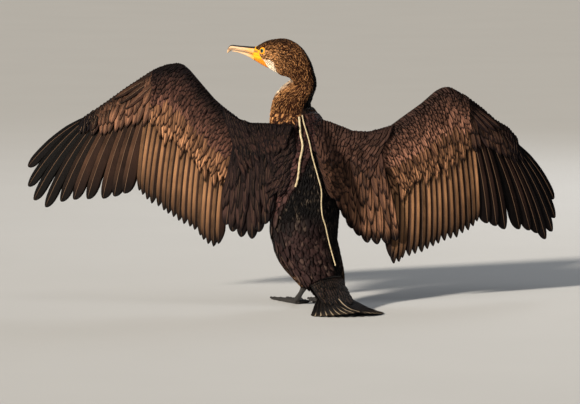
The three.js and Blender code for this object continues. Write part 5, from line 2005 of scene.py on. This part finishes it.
def finishes() -> dict[str, bpy.types.Material]:
    """Every feather finish by its short name, with _right for the right wing's copies, which carry painted
    light on its inner part and painted shade on its hand.
    """
    edge = (0.005, 0.003, 0.0035)
    flight = FeatherFinish(
        "feather", middle=(0.022, 0.0105, 0.007), edge=(0.004, 0.0025, 0.0025), outer=(0.058, 0.028, 0.016),
        shaft=(0.22, 0.13, 0.08), second=(0.0025, 0.0020, 0.0022), barbs=90.0, edge_width=0.24,
        shaft_width=0.03, dusk=0.6,
    )
    # The near-black second colour, taken by the shoulder coverts and the front rows of lesser coverts, is
    # painted shade over the left shoulder and front edge.
    lesser = replace(
        flight, middle=(0.050, 0.021, 0.016), outer=(0.095, 0.042, 0.029), edge=edge,
        second=(0.0034, 0.0022, 0.0032), edge_width=0.5, barbs=30.0, dusk=0.8,
    )
    # The left copy is darker than the right: partly the feathers' own dark brown, partly painted shade on the
    # left flap; its near-black second colour is painted shadow at the flap's root.
    scapular = replace(
        flight, middle=(0.011, 0.0055, 0.0056), outer=(0.032, 0.016, 0.013), edge=edge,
        second=(0.0036, 0.0023, 0.0032), edge_width=0.36, barbs=70.0, dusk=0.85,
    )
    looks = {
        "primary": flight,
        # The right primaries' copy is darker: painted shade on the right hand.
        "primary_right": replace(flight, middle=(0.0035, 0.0022, 0.0020), outer=(0.015, 0.0075, 0.0055)),
        "secondary": replace(flight, middle=(0.030, 0.014, 0.009), outer=(0.25, 0.125, 0.060), dusk=0.45),
        "greater": replace(
            flight, middle=(0.10, 0.046, 0.024), outer=(0.30, 0.145, 0.072), edge=(0.010, 0.005, 0.004),
            second=(0.050, 0.022, 0.015), edge_width=0.36, barbs=50.0, dusk=0.85,
        ),
        "lesser": lesser,
        # The right lesser coverts' copy is lighter: painted light on the right inner wing.
        "lesser_right": replace(
            lesser, middle=(0.16, 0.073, 0.048), outer=(0.32, 0.150, 0.095), second=(0.034, 0.018, 0.015),
        ),
        "hand": replace(
            lesser, middle=(0.060, 0.027, 0.017), outer=(0.16, 0.075, 0.043), edge=(0.012, 0.006, 0.005),
            shaft=(0.5, 0.32, 0.2), edge_width=0.22,
        ),
        # The right hand coverts' copy is darker: painted shade on the right hand.
        "hand_right": replace(
            lesser, middle=(0.016, 0.009, 0.008), outer=(0.060, 0.030, 0.020), edge_width=0.3,
        ),
        "under": replace(
            flight, middle=(0.016, 0.011, 0.010), outer=(0.022, 0.015, 0.013), edge=edge, barbs=30.0,
        ),
        "scapular": scapular,
        # The right scapulars' copy is lighter: painted light on the right flap.
        "scapular_right": replace(
            scapular, middle=(0.085, 0.040, 0.024), outer=(0.21, 0.100, 0.055), second=(0.040, 0.019, 0.015),
        ),
        "tail": replace(
            flight, middle=(0.007, 0.006, 0.006), outer=(0.010, 0.008, 0.008), edge=(0.03, 0.022, 0.016),
            shaft=(0.66, 0.52, 0.36), shaft_width=0.11, edge_width=0.1, barbs=80.0,
        ),
        "black": replace(
            flight, middle=(0.010, 0.008, 0.008), outer=(0.016, 0.011, 0.011), edge=(0.004, 0.004, 0.004),
            barbs=30.0,
        ),
    }
    return {key: replace(look, name=f"feather_{key}").make() for key, look in looks.items()}


SHORT_TWINE = ((7.7, -8), (7.2, -13), (6.6, -17), (6, -18), (5.4, -25), (4.8, -29), (4.4, -33))
LONG_TWINE = (
    (7.8, -1), (7.2, -5), (6.3, -5), (5.7, -3.6), (5.3, 0), (4.8, 6), (4.3, 12), (3.7, 12), (3.2, 14.5),
    (2.7, 20), (2.2, 22.5), (1.5, 22.5), (0.5, 20),
)
SEED = 11


def main() -> None:
    """Builds the bird from the twine and body out to the feather tips, then the studio."""
    logging.basicConfig(level=logging.INFO)
    rng = np.random.default_rng(SEED)
    World.settle("eye_left", BIRD_FACE.eye(Side.LEFT))
    studio = Studio()
    studio.camera()
    straw = TwineFinish().make()
    Twine("twine_short", 4.0, SHORT_TWINE).build(straw)
    Twine("twine_long", 2.4, LONG_TWINE).build(straw)
    legs = [Leg(side) for side in Side]
    limbs = [leg.upper() for leg in legs]
    Skin().build(limbs)
    Bill().build()
    Eyes().build()
    hide, horn = HideFinish("foot_hide").make(), HideFinish("claw_horn", rough=0.3, scale=90.0).make()
    for leg in legs:
        leg.shank(hide)
        leg.foot(hide, horn)
    Plumage(rng, CoatFinish("coat_feathers").make()).dress(limbs)
    looks = finishes()
    for plan in (LEFT_WING, RIGHT_WING):
        Wing(plan, rng, looks).build()
    Tail(rng, looks).build()
    studio.build()


if __name__ == "__main__":
    main()
